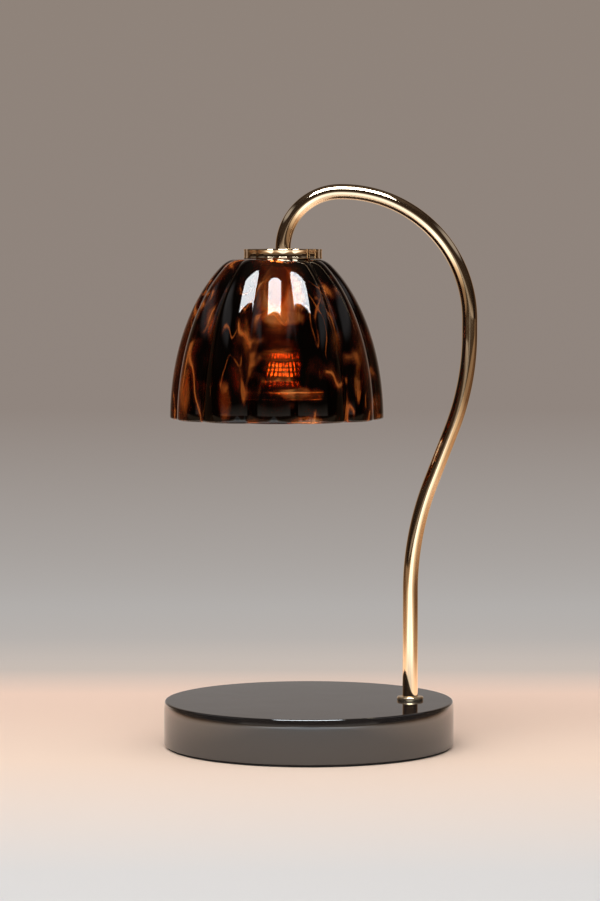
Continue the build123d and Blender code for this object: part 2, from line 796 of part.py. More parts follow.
outer_curve = [(head_x + r, z) for r, z in reflector_curve(0)]
inner_curve = [(head_x + r, z) for r, z in reflector_curve(reflector_wall)]
with BuildPart() as bulb_reflector:
    with BuildSketch(Plane.XZ):
        with BuildLine():
            ThreePointArc(*outer_curve)
            Polyline(
                outer_curve[2],
                (outer_curve[2][0], bulb_front_z),
                (inner_curve[2][0], bulb_front_z),
                inner_curve[2],
            )
            ThreePointArc(*reversed(inner_curve))
            Line(inner_curve[0], outer_curve[0])
        make_face()
    revolve(axis=Axis((head_x, 0, 0), (0, 0, 1)))
save(bulb_reflector, "bulb_reflector")

lens_z = bulb_front_z + lens_inset
ring_r = bulb_d / 2 - reflector_wall - thread_gap
with BuildPart() as bulb_lens:
    with BuildSketch(Plane.XY.offset(lens_z)):
        with Locations((head_x, 0)):
            Circle(ring_r)
    extrude(amount=lens_t)
save(bulb_lens, "bulb_lens")

with BuildPart() as bulb_capsule:
    with BuildSketch(Plane.XY.offset(neck_z - capsule_l)):
        with Locations((head_x, 0)):
            Circle(capsule_d / 2)
    extrude(amount=capsule_l)
    fillet(bulb_capsule.edges().group_by(Axis.Z)[0], capsule_tip_r)
    offset(amount=-capsule_wall, openings=bulb_capsule.faces().sort_by(Axis.Z)[-1])
save(bulb_capsule, "bulb_capsule")

with BuildPart() as bulb_filament:
    with BuildSketch(Plane.XY.offset(neck_z)):
        with Locations((head_x - filament_pitch / 2, 0), (head_x + filament_pitch / 2, 0)):
            Circle(filament_d / 2)
    extrude(amount=-filament_drop)
    with BuildSketch(Plane.YZ.offset(head_x - filament_pitch / 2)):
        with Locations((0, neck_z - filament_drop)):
            Circle(filament_d / 2)
    extrude(amount=filament_pitch)
save(bulb_filament, "bulb_filament")
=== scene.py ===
import json
import math

import bmesh
import bpy
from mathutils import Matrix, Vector


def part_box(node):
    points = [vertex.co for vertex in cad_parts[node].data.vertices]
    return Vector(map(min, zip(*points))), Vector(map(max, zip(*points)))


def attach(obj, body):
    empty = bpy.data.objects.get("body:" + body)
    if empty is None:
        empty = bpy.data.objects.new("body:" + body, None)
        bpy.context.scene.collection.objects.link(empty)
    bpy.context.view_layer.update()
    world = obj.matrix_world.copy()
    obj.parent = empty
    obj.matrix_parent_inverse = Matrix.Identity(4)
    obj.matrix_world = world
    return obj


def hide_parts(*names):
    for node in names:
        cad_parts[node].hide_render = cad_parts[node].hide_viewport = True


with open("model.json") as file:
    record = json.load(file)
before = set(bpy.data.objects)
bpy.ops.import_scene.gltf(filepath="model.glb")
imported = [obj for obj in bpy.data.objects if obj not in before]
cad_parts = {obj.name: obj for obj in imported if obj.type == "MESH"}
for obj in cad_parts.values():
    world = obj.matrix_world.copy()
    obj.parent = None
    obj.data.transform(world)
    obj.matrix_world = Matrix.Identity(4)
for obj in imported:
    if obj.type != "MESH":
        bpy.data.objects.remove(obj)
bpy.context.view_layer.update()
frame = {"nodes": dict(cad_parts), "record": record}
mm = 0.001  # sizes of the lamp are in mm, those of the studio in metres
weld = 1e-6  # metres between points that are one
fineWeld = 1e-7
print("frame loaded:", len(frame["nodes"]), "nodes")


# small helpers for node trees and meshes


def put(tree, kind, links=None, **settings):
    node = tree.nodes.new(kind)
    for key, value in settings.items():
        setattr(node, key, value)
    for key, value in (links or {}).items():
        if isinstance(value, bpy.types.NodeSocket):
            tree.links.new(value, node.inputs[key])
        else:
            node.inputs[key].default_value = value
    return node


def calc(tree, operation, *values):
    return put(tree, "ShaderNodeMath", dict(enumerate(values)), operation=operation).outputs[0]


def times(tree, first, second):
    return calc(tree, "MULTIPLY", first, second)


def minus(tree, first, second):
    return calc(tree, "SUBTRACT", first, second)


def colourOf(red, green, blue):  # screen values 0..255 to the linear colour that Blender mixes
    linear = []
    for level in (red, green, blue):
        share = level / 255
        linear.append(share / 12.92 if share <= 0.04045 else ((share + 0.055) / 1.055) ** 2.4)
    return (*linear, 1.0)


def rampOf(tree, factor, stops):
    node = put(tree, "ShaderNodeValToRGB", {"Fac": factor})
    ramp = node.color_ramp
    while len(ramp.elements) < len(stops):
        ramp.elements.new(0.5)
    for element, (place, colour) in zip(ramp.elements, stops):
        element.position = place
        element.color = colour
    return node.outputs["Color"]


def newObject(name, mesh):
    piece = bpy.data.objects.new(name, mesh)
    bpy.context.scene.collection.objects.link(piece)
    return piece


def polylineObject(name, points):  # points are (x, y, z) in metres, joined in order
    mesh = bpy.data.meshes.new(name)
    mesh.from_pydata(points, [(k, k + 1) for k in range(len(points) - 1)], [])
    return newObject(name, mesh)


def makeWithNodes(source, tree, values, name):  # turns a profile or line into the mesh that the tree makes
    modifier = source.modifiers.new("build", "NODES")
    modifier.node_group = tree
    inputs = [item for item in tree.interface.items_tree if item.in_out == "INPUT"]
    sockets = {item.name: item.identifier for item in inputs}
    for label, value in values.items():
        modifier[sockets[label]] = value
    graph = bpy.context.evaluated_depsgraph_get()
    built = source.evaluated_get(graph)
    mesh = bpy.data.meshes.new_from_object(built, preserve_all_data_layers=True, depsgraph=graph)
    source.modifiers.remove(modifier)
    bpy.data.objects.remove(source)
    mesh.name = name
    return newObject(name, mesh)


def outward(piece):
    work = bmesh.new()
    work.from_mesh(piece.data)
    bmesh.ops.remove_doubles(work, verts=work.verts, dist=fineWeld)
    bmesh.ops.recalc_face_normals(work, faces=work.faces)
    work.to_mesh(piece.data)
    work.free()
    return piece


def finishedObject(name, work):
    mesh = bpy.data.meshes.new(name)
    work.to_mesh(mesh)
    work.free()
    return newObject(name, mesh)


def hand(piece, body, slot, *nodes):  # hangs a finished piece on its body and hides the CAD nodes that it replaces
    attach(piece, body)
    if nodes:
        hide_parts(*nodes)
    return piece


# finishes


def startFinish(name, **sockets):
    finish = bpy.data.materials.new(name)
    finish.use_nodes = True
    shader = finish.node_tree.nodes["Principled BSDF"]
    for label, value in sockets.items():
        shader.inputs[label].default_value = value
    return finish, finish.node_tree, shader


def objectPlace(tree):
    return put(tree, "ShaderNodeTexCoord").outputs["Object"]


def noiseNode(tree, scale, detail=3.0, rough=0.5, twist=0.0, place=None):
    place = place or objectPlace(tree)
    links = {"Vector": place, "Scale": scale, "Detail": detail, "Roughness": rough, "Distortion": twist}
    return put(tree, "ShaderNodeTexNoise", links)


def noiseOn(tree, scale, **kind):
    return noiseNode(tree, scale, **kind).outputs["Fac"]


def spread(tree, value, low, high, fromLow=0.0, fromHigh=1.0):
    links = {"Value": value, "From Min": fromLow, "From Max": fromHigh, "To Min": low, "To Max": high}
    return put(tree, "ShaderNodeMapRange", links, interpolation_type="SMOOTHSTEP").outputs["Result"]


def bumpFrom(tree, shader, height, strength, distance):
    links = {"Height": height, "Strength": strength, "Distance": distance}
    bump = put(tree, "ShaderNodeBump", links)
    tree.links.new(bump.outputs["Normal"], shader.inputs["Normal"])


def variedColour(tree, shader, noise, first, second):
    mix = put(tree, "ShaderNodeMix", {"Factor": noise}, data_type="RGBA")
    mix.inputs[6].default_value = first
    mix.inputs[7].default_value = second
    tree.links.new(mix.outputs[2], shader.inputs["Base Color"])


goldLook = {
    "colour": (0.95, 0.79, 0.57, 1),
    "deeper": (0.92, 0.74, 0.50, 1),
    "cloudScale": 38.0,
    "roughLow": 0.05,
    "roughHigh": 0.07,
    "wipedScale": 24.0,
    "duller": {"socket_cup": 0.30, "foot_flange": 0.20},  # so much rougher than the arm and the cap
    "margin": 0.2,
}


def makeGold():
    look = goldLook
    finish, tree, shader = startFinish("polishedGold", Metallic=1.0)
    cloud = noiseOn(tree, look["cloudScale"], detail=4.0, rough=0.55)
    variedColour(tree, shader, cloud, look["colour"], look["deeper"])
    wiped = noiseOn(tree, look["wipedScale"], detail=2.0, rough=0.5)
    rough = spread(tree, wiped, look["roughLow"], look["roughHigh"])
    split = put(tree, "ShaderNodeSeparateXYZ", {0: objectPlace(tree)}).outputs
    for node, extra in look["duller"].items():
        low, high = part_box(node)
        within = 1.0
        for axis, start, end in (("X", low.x, high.x), ("Z", low.z, high.z)):
            away = calc(tree, "ABSOLUTE", minus(tree, split[axis], (start + end) / 2))
            reach = (end - start) / 2 + look["margin"] * mm
            within = times(tree, within, calc(tree, "LESS_THAN", away, reach))
        rough = calc(tree, "MULTIPLY_ADD", within, extra, rough)
    tree.links.new(rough, shader.inputs["Roughness"])
    return finish


stoneLook = {
    "colour": (0.010, 0.0095, 0.0095, 1),
    "fleck": (0.020, 0.018, 0.018, 1),
    "fleckScale": 420.0,
    "roughLow": 0.03,
    "roughHigh": 0.07,
    "smearScale": 26.0,
    "gloss": 2.0,
    "sheen": (0.93, 0.97, 1.0, 1),
    "waveScale": 30.0,
    "wave": 0.10,
    "waveDepth": 0.0012,
}


def makeStone():
    look = stoneLook
    finish, tree, shader = startFinish("polishedBlack", IOR=look["gloss"])
    shader.inputs["Specular Tint"].default_value = look["sheen"]
    flecks = noiseOn(tree, look["fleckScale"], detail=6.0, rough=0.65)
    variedColour(tree, shader, flecks, look["colour"], look["fleck"])
    smear = noiseOn(tree, look["smearScale"], detail=4.0, rough=0.6)
    rough = spread(tree, smear, look["roughLow"], look["roughHigh"])
    tree.links.new(rough, shader.inputs["Roughness"])
    wave = noiseOn(tree, look["waveScale"])
    bumpFrom(tree, shader, wave, look["wave"], look["waveDepth"])
    return finish


glassLook = {
    "dark": (0.0042, 0.0016, 0.0011, 1),
    "plum": (0.072, 0.0100, 0.0036, 1),
    "brown": (0.20, 0.044, 0.011, 1),
    "ember": (0.64, 0.165, 0.028, 1),
    "amber": (0.93, 0.41, 0.125, 1),
    "shades": {"dark": 0.12, "plum": 0.30, "brown": 0.48, "ember": 0.66, "amber": 0.86},  # closed to clear
    "ior": 1.52,
    "roughness": 0.018,
    "shift": (0.031, 0.0, 0.052),
    "stretch": (1.0, 1.0, 0.33),
    "driftScale": 30.0,
    "drift": 0.022,
    "clearThrough": 0.96,  # share of the light that passes
    "veinThrough": 0.58,
    "throughEdges": (0.1, 0.8),
    "patchScale": 54.0,
    "veinWidth": 0.050,
    "veinLevel": 0.70,
    "haloWidth": 0.15,
    "haloLevel": 0.44,
    "comingScale": 60.0,
    "coming": (0.38, 0.62),  # veins come between these levels of a noise
    "cloudScale": 36.0,
    "cloudLevel": 0.44,
    "clouds": (0.44, 0.68),
    "fineScale": 96.0,
    "fineStretch": (1.0, 1.0, 0.5),
    "fineBorder": 0.47,
    "fineWidth": 0.030,
    "fineLevel": 0.64,
    "fineComingScale": 44.0,
    "fineComing": (0.47, 0.60),
    "grainScale": 70.0,
    "wobble": 1.8,
    "paintedShadeWobble": 0.4,
    "frontFrom": -4.0,  # windows and painted shade lie in the glass before this depth, in mm
    "windows": [  # x, z, half width, half height in mm of the clearer places at the front, and how clear
        (-15.5, 234.0, 14.5, 25.0, 0.82),
        (-14.5, 199.0, 12.0, 17.0, 0.53),
        (-14.0, 222.5, 14.0, 6.0, 0.92),
        (-17.5, 205.0, 10.0, 2.2, 0.66),
        (-17.5, 197.0, 8.0, 4.5, 0.62),
        (-9.0, 185.0, 13.0, 4.2, 0.80),
        (1.0, 170.4, 13.0, 3.0, 0.78),
        (-28.0, 170.6, 4.5, 3.0, 0.66),
        (36.5, 171.0, 5.5, 2.4, 0.70),
        (-42.5, 181.0, 4.0, 13.0, 0.66),
        (-63.0, 186.0, 4.0, 20.0, 0.64),
        (-31.5, 211.0, 3.0, 15.0, 0.66),
        (-50.0, 222.0, 3.2, 17.0, 0.60),
        (13.5, 210.0, 4.5, 10.0, 0.58),
        (25.5, 205.0, 3.0, 12.0, 0.58),
        (24.5, 189.0, 2.0, 13.0, 0.70),
        (34.0, 177.0, 3.6, 8.0, 0.64),
        (3.5, 184.0, 5.0, 4.0, 0.60),
    ],
    "windowEdge": (0.10, 1.15),
    "paintedShadeOvals": [  # painted shade laid over them: darker glass where the cup and bulb seen through it look dark, and the clearest that the glass may be there
        (-16.4, 240.0, 7.0, 13.0, 0.52),
        (-14.0, 211.0, 12.0, 4.2, 0.36),
        (-15.0, 188.8, 12.0, 2.4, 0.30),
    ],
    "paintedShadeEdge": (0.45, 1.35),
    "waveScale": 34.0,
    "wave": 0.10,
    "waveDepth": 0.0009,
}


def makeTortoiseshell():
    look = glassLook
    finish, tree, shader = startFinish("tortoiseshellGlass", Roughness=look["roughness"], IOR=look["ior"])
    place = objectPlace(tree)
    links = {"Vector": place, "Location": look["shift"], "Scale": look["stretch"]}
    stretched = put(tree, "ShaderNodeMapping", links).outputs[0]
    drift = noiseNode(tree, look["driftScale"], detail=2.0, place=stretched).outputs["Color"]

    def vectorOf(operation, links):
        return put(tree, "ShaderNodeVectorMath", links, operation=operation).outputs[0]

    evenly = vectorOf("SUBTRACT", {0: drift, 1: (0.5, 0.5, 0.5)})
    moved = vectorOf("ADD", {0: stretched, 1: vectorOf("SCALE", {0: evenly, "Scale": look["drift"]})})

    def shownWhere(scale, edges, place, high=1.0, **kind):  # 0 to high where a noise rises between the edges
        return spread(tree, noiseOn(tree, scale, place=place, **kind), 0.0, high, *edges)

    def besideBorder(away, level, width):  # level on a border, fading out beside it
        return spread(tree, away, level, 0.0, 0.0, width)

    # veins follow the borders between the dark patches and come and go along their length
    patches = noiseOn(tree, look["patchScale"], detail=1.0, rough=0.4, twist=0.15, place=moved)
    offBorder = calc(tree, "ABSOLUTE", minus(tree, patches, 0.5))
    border = besideBorder(offBorder, 1.0, look["veinWidth"])
    halo = besideBorder(offBorder, look["haloLevel"], look["haloWidth"])
    presence = shownWhere(look["comingScale"], look["coming"], place, detail=2.0)
    veins = times(tree, times(tree, border, presence), look["veinLevel"])
    veined = calc(tree, "MAXIMUM", veins, times(tree, halo, presence))
    # a finer set, drawn out upwards
    drawnOut = put(tree, "ShaderNodeMapping", {"Vector": moved, "Scale": look["fineStretch"]}).outputs[0]
    streaks = noiseOn(tree, look["fineScale"], detail=1.0, twist=0.1, place=drawnOut)
    offStreak = calc(tree, "ABSOLUTE", minus(tree, streaks, look["fineBorder"]))
    fine = besideBorder(offStreak, look["fineLevel"], look["fineWidth"])
    shown = shownWhere(look["fineComingScale"], look["fineComing"], place, detail=2.0, twist=0.7)
    veined = calc(tree, "MAXIMUM", veined, times(tree, fine, shown))
    edges, level = look["clouds"], look["cloudLevel"]
    clouds = shownWhere(look["cloudScale"], edges, moved, level, rough=0.55, twist=0.4)
    body = calc(tree, "MAXIMUM", veined, clouds)
    split = put(tree, "ShaderNodeSeparateXYZ", {0: place}).outputs
    front = calc(tree, "LESS_THAN", split["Y"], look["frontFrom"] * mm)
    behind = minus(tree, 1.0, front)
    grain = noiseOn(tree, look["grainScale"], rough=0.6, twist=0.5, place=moved)
    wobble = times(tree, minus(tree, grain, 0.5), look["wobble"])

    def fromMiddle(x, z, halfWidth, halfHeight):  # 0 in the middle of an oval, 1 at its edge
        across = calc(tree, "DIVIDE", minus(tree, split["X"], x * mm), halfWidth * mm)
        along = calc(tree, "DIVIDE", minus(tree, split["Z"], z * mm), halfHeight * mm)
        return calc(tree, "MULTIPLY_ADD", across, across, times(tree, along, along))

    glow = body
    for *oval, gain in look["windows"]:
        away = calc(tree, "ADD", fromMiddle(*oval), wobble)
        opening = times(tree, spread(tree, away, gain, 0.0, *look["windowEdge"]), front)
        glow = calc(tree, "MAXIMUM", glow, opening)
    # painted shade: the glass is made darker where the cup and bulb behind it look dark
    for *oval, lid in look["paintedShadeOvals"]:
        away = calc(tree, "MULTIPLY_ADD", wobble, look["paintedShadeWobble"], fromMiddle(*oval))
        shadeCover = calc(tree, "MAXIMUM", spread(tree, away, lid, 1.0, *look["paintedShadeEdge"]), behind)
        glow = calc(tree, "MINIMUM", glow, shadeCover)
    stops = [(0.0, look["dark"])] + [(depth, look[shade]) for shade, depth in look["shades"].items()]
    tree.links.new(rampOf(tree, glow, stops), shader.inputs["Base Color"])
    through = spread(tree, body, look["clearThrough"], look["veinThrough"], *look["throughEdges"])
    tree.links.new(through, shader.inputs["Transmission Weight"])
    wave = noiseOn(tree, look["waveScale"], detail=2.0, place=place)
    bumpFrom(tree, shader, wave, look["wave"], look["waveDepth"])
    return finish


def makeGrained(name, first, second, roughness, grain, bump, depth, **sockets):
    finish, tree, shader = startFinish(name, Roughness=roughness, **sockets)
    cloudSize = 4  # times the size of a grain
    variedColour(tree, shader, noiseOn(tree, grain / cloudSize), first, second)
    bumpFrom(tree, shader, noiseOn(tree, grain, detail=4.0, rough=0.6), bump, depth)
    return finish


def makeClear(name, tint, roughness, grain, bump, ior=1.47, worn=0.4, depth=0.0004):
    finish, tree, shader = startFinish(name, IOR=ior)
    shader.inputs["Base Color"].default_value = tint
    shader.inputs["Transmission Weight"].default_value = 1.0
    cloudSize = 3  # times the size of a grain
    clouds = noiseOn(tree, grain / cloudSize)
    rough = spread(tree, clouds, roughness * (1 - worn), roughness * (1 + worn))
    tree.links.new(rough, shader.inputs["Roughness"])
    bumpFrom(tree, shader, noiseOn(tree, grain, detail=2.0), bump, depth)
    return finish


def grey(level):
    return (level, level, level, 1)


grainedLooks = {  # name, two colours, roughness, how fine the grain is, its bump and depth in metres
    "black_foam": ("blackFoam", grey(0.018), grey(0.030), 0.92, 2600.0, 0.6, 0.0004),
    "black_rubber": ("blackRubber", grey(0.020), grey(0.032), 0.55, 1400.0, 0.25, 0.0002),
    "white_nylon": ("whiteNylon", grey(0.74), (0.78, 0.77, 0.74, 1), 0.42, 900.0, 0.10, 0.0001),
    "brown_wire": ("brownWire", (0.13, 0.045, 0.02, 1), (0.16, 0.06, 0.03, 1), 0.40, 700.0, 0.10, 0.0001),
    "blue_wire": ("blueWire", (0.03, 0.10, 0.36, 1), (0.04, 0.13, 0.42, 1), 0.40, 700.0, 0.10, 0.0001),
    "white_ceramic": (
        "whiteCeramic", (0.80, 0.78, 0.73, 1), (0.86, 0.84, 0.80, 1), 0.30, 500.0, 0.06, 0.0002
    ),
}

metalLooks = {
    "zinc_steel": ("zincSteel", grey(0.58), grey(0.68), 0.28, 1200.0, 0.10, 0.0001),
    "insert_brass": ("turnedBrass", (0.78, 0.56, 0.27, 1), (0.70, 0.48, 0.22, 1), 0.25, 1500.0, 0.10, 0.0001),
    "tungsten": ("tungstenCoil", grey(0.30), grey(0.42), 0.45, 2500.0, 0.40, 0.0002),
    "faceted_mirror": (
        "facetedMirror", (0.90, 0.84, 0.76, 1), (0.84, 0.76, 0.68, 1), 0.07, 260.0, 0.04, 0.0003
    ),
}

clearLooks = {  # name, tint, roughness, how fine the grain is and its bump
    "clear_glass": ("clearGlass", (0.97, 0.98, 0.97, 1), 0.03, 700.0, 0.15),
    "clear_silicone": ("clearSilicone", (0.86, 0.86, 0.84, 1), 0.35, 900.0, 0.10),
}

finishes = {
    "polished_gold": makeGold(),
    "polished_black_stone": makeStone(),
    "tortoiseshell_glass": makeTortoiseshell(),
}
finishes |= {slot: makeGrained(*look) for slot, look in grainedLooks.items()}
finishes |= {slot: makeGrained(*look, Metallic=1.0) for slot, look in metalLooks.items()}
finishes |= {slot: makeClear(*look) for slot, look in clearLooks.items()}
print("finishes made:", len(finishes))

slotOf = {part["node"]: part["material_slot"] for part in frame["record"]["subparts"]}
for name, node in frame["nodes"].items():
    for place in node.material_slots:
        place.material = finishes[slotOf[name]]
print("CAD nodes given their finishes")


# turned pieces: a profile of (radius, height) spun about an upright axis, with or without flutes


def turnedTree():
    tree = bpy.data.node_groups.new("turnedPiece", "GeometryNodeTree")
    wanted = [
        ("Profile", "NodeSocketGeometry", None),
        ("Centre X", "NodeSocketFloat", 0.0),
        ("Segments", "NodeSocketInt", 128),
        ("Flutes", "NodeSocketInt", 12),
        ("Flute Depth", "NodeSocketFloat", 0.0),
        ("Soft Valley", "NodeSocketFloat", 0.02),
        ("Turn", "NodeSocketFloat", 0.0),
        ("Round Inside", "NodeSocketFloat", 0.0),
        ("Fluted Outside", "NodeSocketFloat", 0.001),
        ("Finish", "NodeSocketMaterial", None),
    ]
    for label, kind, start in wanted:
        socket = tree.interface.new_socket(label, in_out="INPUT", socket_type=kind)
        if start is not None:
            socket.default_value = start
    tree.interface.new_socket("Piece", in_out="OUTPUT", socket_type="NodeSocketGeometry")
    given = put(tree, "NodeGroupInput").outputs
    size = put(tree, "GeometryNodeAttributeDomainSize", {"Geometry": given["Profile"]})
    count = size.outputs["Point Count"]
    along = calc(tree, "ADD", given["Segments"], 1.0)
    links = {"Size X": 1.0, "Size Y": 1.0, "Vertices X": count, "Vertices Y": along}
    grid = put(tree, "GeometryNodeMeshGrid", links)
    here = put(tree, "GeometryNodeInputPosition").outputs[0]
    split = put(tree, "ShaderNodeSeparateXYZ", {0: here}).outputs
    last = minus(tree, count, 1.0)
    row = calc(tree, "ROUND", times(tree, calc(tree, "ADD", split["X"], 0.5), last))
    angle = times(tree, calc(tree, "ADD", split["Y"], 0.5), 2 * math.pi)
    links = {"Geometry": given["Profile"], "Index": row}
    profilePoint = put(tree, "GeometryNodeSampleIndex", links, data_type="FLOAT_VECTOR")
    tree.links.new(here, profilePoint.inputs["Value"])
    point = put(tree, "ShaderNodeSeparateXYZ", {0: profilePoint.outputs[0]}).outputs
    radius, height = point["X"], point["Z"]
    # angle from the middle of the nearest lobe, softened at the valley
    pitch = calc(tree, "DIVIDE", 2 * math.pi, given["Flutes"])
    half = times(tree, pitch, 0.5)
    lobe = calc(tree, "DIVIDE", minus(tree, angle, given["Turn"]), pitch)
    near = minus(tree, lobe, calc(tree, "ROUND", lobe))
    fromValley = minus(tree, half, calc(tree, "ABSOLUTE", times(tree, near, pitch)))
    soft = given["Soft Valley"]
    softSquare = times(tree, soft, soft)

    def eased(value):
        squares = calc(tree, "MULTIPLY_ADD", value, value, softSquare)
        return minus(tree, calc(tree, "SQRT", squares), soft)

    share = calc(tree, "DIVIDE", eased(fromValley), eased(half))
    turn = minus(tree, half, times(tree, share, half))
    # each lobe is a circular arc of radius arc, centred at distance hub, on a unit circle
    valley = minus(tree, 1.0, given["Flute Depth"])
    rise = minus(tree, 1.0, times(tree, valley, valley))
    valleyX = times(tree, valley, calc(tree, "COSINE", half))
    run = times(tree, 2.0, minus(tree, 1.0, valleyX))
    hub = calc(tree, "DIVIDE", rise, run)
    arc = minus(tree, 1.0, hub)
    across = times(tree, hub, calc(tree, "SINE", turn))
    arcSquare = times(tree, arc, arc)
    reach = calc(tree, "SQRT", minus(tree, arcSquare, times(tree, across, across)))
    flute = calc(tree, "ADD", times(tree, hub, calc(tree, "COSINE", turn)), reach)
    fade = spread(tree, radius, 0.0, 1.0, given["Round Inside"], given["Fluted Outside"])
    shrink = calc(tree, "MULTIPLY_ADD", minus(tree, flute, 1.0), fade, 1.0)
    spoke = times(tree, radius, shrink)
    newX = calc(tree, "MULTIPLY_ADD", spoke, calc(tree, "COSINE", angle), given["Centre X"])
    newY = times(tree, spoke, calc(tree, "SINE", angle))
    place = put(tree, "ShaderNodeCombineXYZ", {"X": newX, "Y": newY, "Z": height}).outputs[0]
    links = {"Geometry": grid.outputs["Mesh"], "Position": place}
    moved = put(tree, "GeometryNodeSetPosition", links).outputs[0]
    joined = put(tree, "GeometryNodeMergeByDistance", {"Geometry": moved, "Distance": weld}).outputs[0]
    smooth = put(tree, "GeometryNodeSetShadeSmooth", {0: joined}).outputs[0]
    real = put(tree, "GeometryNodeRealizeInstances", {0: smooth}).outputs[0]
    coated = put(tree, "GeometryNodeSetMaterial", {"Geometry": real, "Material": given["Finish"]}).outputs[0]
    put(tree, "NodeGroupOutput", {0: coated})
    return tree


turned = turnedTree()


def turnPiece(name, profile, centreX, slot, segments=128, **flutes):
    source = polylineObject(name + "Profile", [(r * mm, 0.0, z * mm) for r, z in profile])
    values = {"Centre X": centreX * mm, "Segments": segments, "Finish": finishes[slot], **flutes}
    return outward(makeWithNodes(source, turned, values, name))


def corner(before, tip, after, steps=6):  # a rounded corner that leaves and arrives in line with the tip
    points = []
    for k in range(steps + 1):
        t = k / steps
        a, b, c = (1 - t) ** 2, 2 * t * (1 - t), t * t
        points.append(tuple(a * u + b * v + c * w for u, v, w in zip(before, tip, after)))
    return points


def heights(node):
    low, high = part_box(node)
    return low.z / mm, high.z / mm


def middleX(node):
    low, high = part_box(node)
    return (low.x + high.x) / 2 / mm


headX = middleX("cap_plate")
footX = middleX("foot_flange")


# glass shade

shadeSizes = {
    "rimRadius": 55.2,
    "spanRatio": 1.1031,
    "wall": 3.0,
    "topThickness": 3.2,
    "topBelow": 1.2,  # the glass ends this far under the washer's seat
    "holeRadius": 9.0,
    "holeEase": 0.4,
    "flutes": 12,
    "fluteDepth": 0.068,
    "softValley": 0.014,
    "turn": -1.7,
    "roundInside": 10.5,
    "flutedOutside": 20.0,
    "rimRound": 1.5,
    "shoulderRound": 3.0,
    "rows": 44,
    "segments": 360,
}


def makeShade():
    size = shadeSizes
    rimZ, topZ = heights("shade")
    height = topZ - rimZ
    span = height * size["spanRatio"]
    ceiling = height - size["topThickness"]
    height -= size["topBelow"]

    def outside(h):
        return size["rimRadius"] * math.sqrt(1 - (h / span) ** 2)

    def inside(h):
        slope = size["rimRadius"] ** 2 * h / (span**2 * outside(h))
        return outside(h) - size["wall"] * math.sqrt(1 + slope**2)

    def rowsUp(start, end):  # rows that crowd where the dome turns in
        rows = size["rows"]
        return [start + (end - start) * math.sin(math.pi / 2 * k / rows) for k in range(rows + 1)]

    rim, shoulder = size["rimRound"], size["shoulderRound"]
    outer = [(outside(h), h) for h in rowsUp(rim, height - shoulder)]
    inner = [(inside(h), h) for h in rowsUp(rim, ceiling - shoulder)]
    middle = (outside(0) + inside(0)) / 2
    bottom = corner((middle, 0), (outside(0), 0), outer[0]) + outer[1:]
    top = corner(outer[-1], (outside(height), height), (outside(height) - shoulder, height))[1:]
    bore, ease = size["holeRadius"], size["holeEase"]
    hole = [(bore + ease, height), (bore, height - ease), (bore, ceiling + ease), (bore + ease, ceiling)]
    under = corner((inside(ceiling) - shoulder, ceiling), (inside(ceiling), ceiling), inner[-1])
    down = list(reversed(inner))[1:] + corner(inner[0], (inside(0), 0), (middle, 0))[1:]
    profile = [(r, rimZ + h) for r, h in bottom + top + hole + under + down]
    shade = turnPiece(
        "shadeGlass",
        profile,
        middleX("shade"),
        "tortoiseshell_glass",
        size["segments"],
        **{
            "Flutes": size["flutes"],
            "Flute Depth": size["fluteDepth"],
            "Soft Valley": size["softValley"],
            "Turn": math.radians(size["turn"]),
            "Round Inside": size["roundInside"] * mm,
            "Fluted Outside": size["flutedOutside"] * mm,
        },
    )
    return hand(shade, "lamp", "tortoiseshell_glass", "shade")


makeShade()
print("shade made")


# cap on top of the glass

capSizes = {
    "radius": 20.3,
    "skin": 1.4,
    "scallop": 0.75,
    "softValley": 0.03,
    "flutedEdge": 1.5,
    "rimBelow": 1.2,
    "edgeRound": 1.0,
    "lowerRound": 0.9,
    "groove": 0.16,
    "ease": 0.2,
    "flatFrom": 0.3,
    "nippleHole": 5.05,
    "segments": 240,
}


def makeCap():
    size = capSizes
    low, top = heights("cap_plate")
    low -= size["rimBelow"]
    r, e, f, g = size["radius"], size["edgeRound"], size["lowerRound"], size["groove"]
    hole, ease, flat = size["nippleHole"], size["ease"], size["flatFrom"]
    hollow = r - size["scallop"] - size["skin"]
    ceiling = top - size["skin"]
    profile = corner((r - f, low), (r, low), (r, low + f / 2))
    profile += corner((r, low + f / 2), (r, low + f), (r - g, low + f + ease), steps=4)[1:]
    profile += corner((r - g, top - e - ease), (r, top - e), (r, top - e / 2), steps=4)
    profile += corner((r, top - e / 2), (r, top), (r - e, top), steps=8)[1:]
    profile += [(r - e - flat, top), (hole + flat, top)]
    profile += corner((hole + ease, top), (hole, top), (hole, top - ease), steps=3)
    profile += [(hole, ceiling), (hollow, ceiling), (hollow, low), (r - f, low)]
    cap = turnPiece(
        "capDisc",
        profile,
        headX,
        "polished_gold",
        size["segments"],
        **{
            "Flutes": shadeSizes["flutes"],
            "Flute Depth": size["scallop"] / r,
            "Soft Valley": size["softValley"],
            "Round Inside": hollow * mm,
            "Fluted Outside": (r - size["flutedEdge"]) * mm,
        },
    )
    return hand(cap, "lamp", "polished_gold", "cap_plate")


# silicone washer that fills the room between the cap and the glass

washerSizes = {"radius": 14.0, "hole": 5.05, "ease": 0.2, "segments": 96}


def makeTopWasher():
    size = washerSizes
    low, top = heights("shade")[1] - shadeSizes["topBelow"], heights("upper_washer")[1]
    r, hole, e = size["radius"], size["hole"], size["ease"]
    profile = corner((r - e, low), (r, low), (r, low + e), steps=3)
    profile += corner((r, top - e), (r, top), (r - e, top), steps=3)
    profile += [(hole, top), (hole, low), (r - e, low)]
    washer = turnPiece("topWasher", profile, headX, "clear_silicone", size["segments"])
    return hand(washer, "lamp", "clear_silicone", "upper_washer")


makeCap()
makeTopWasher()
print("cap and washer made")


# arm: the bends of its centre line, in the lamp's own plane

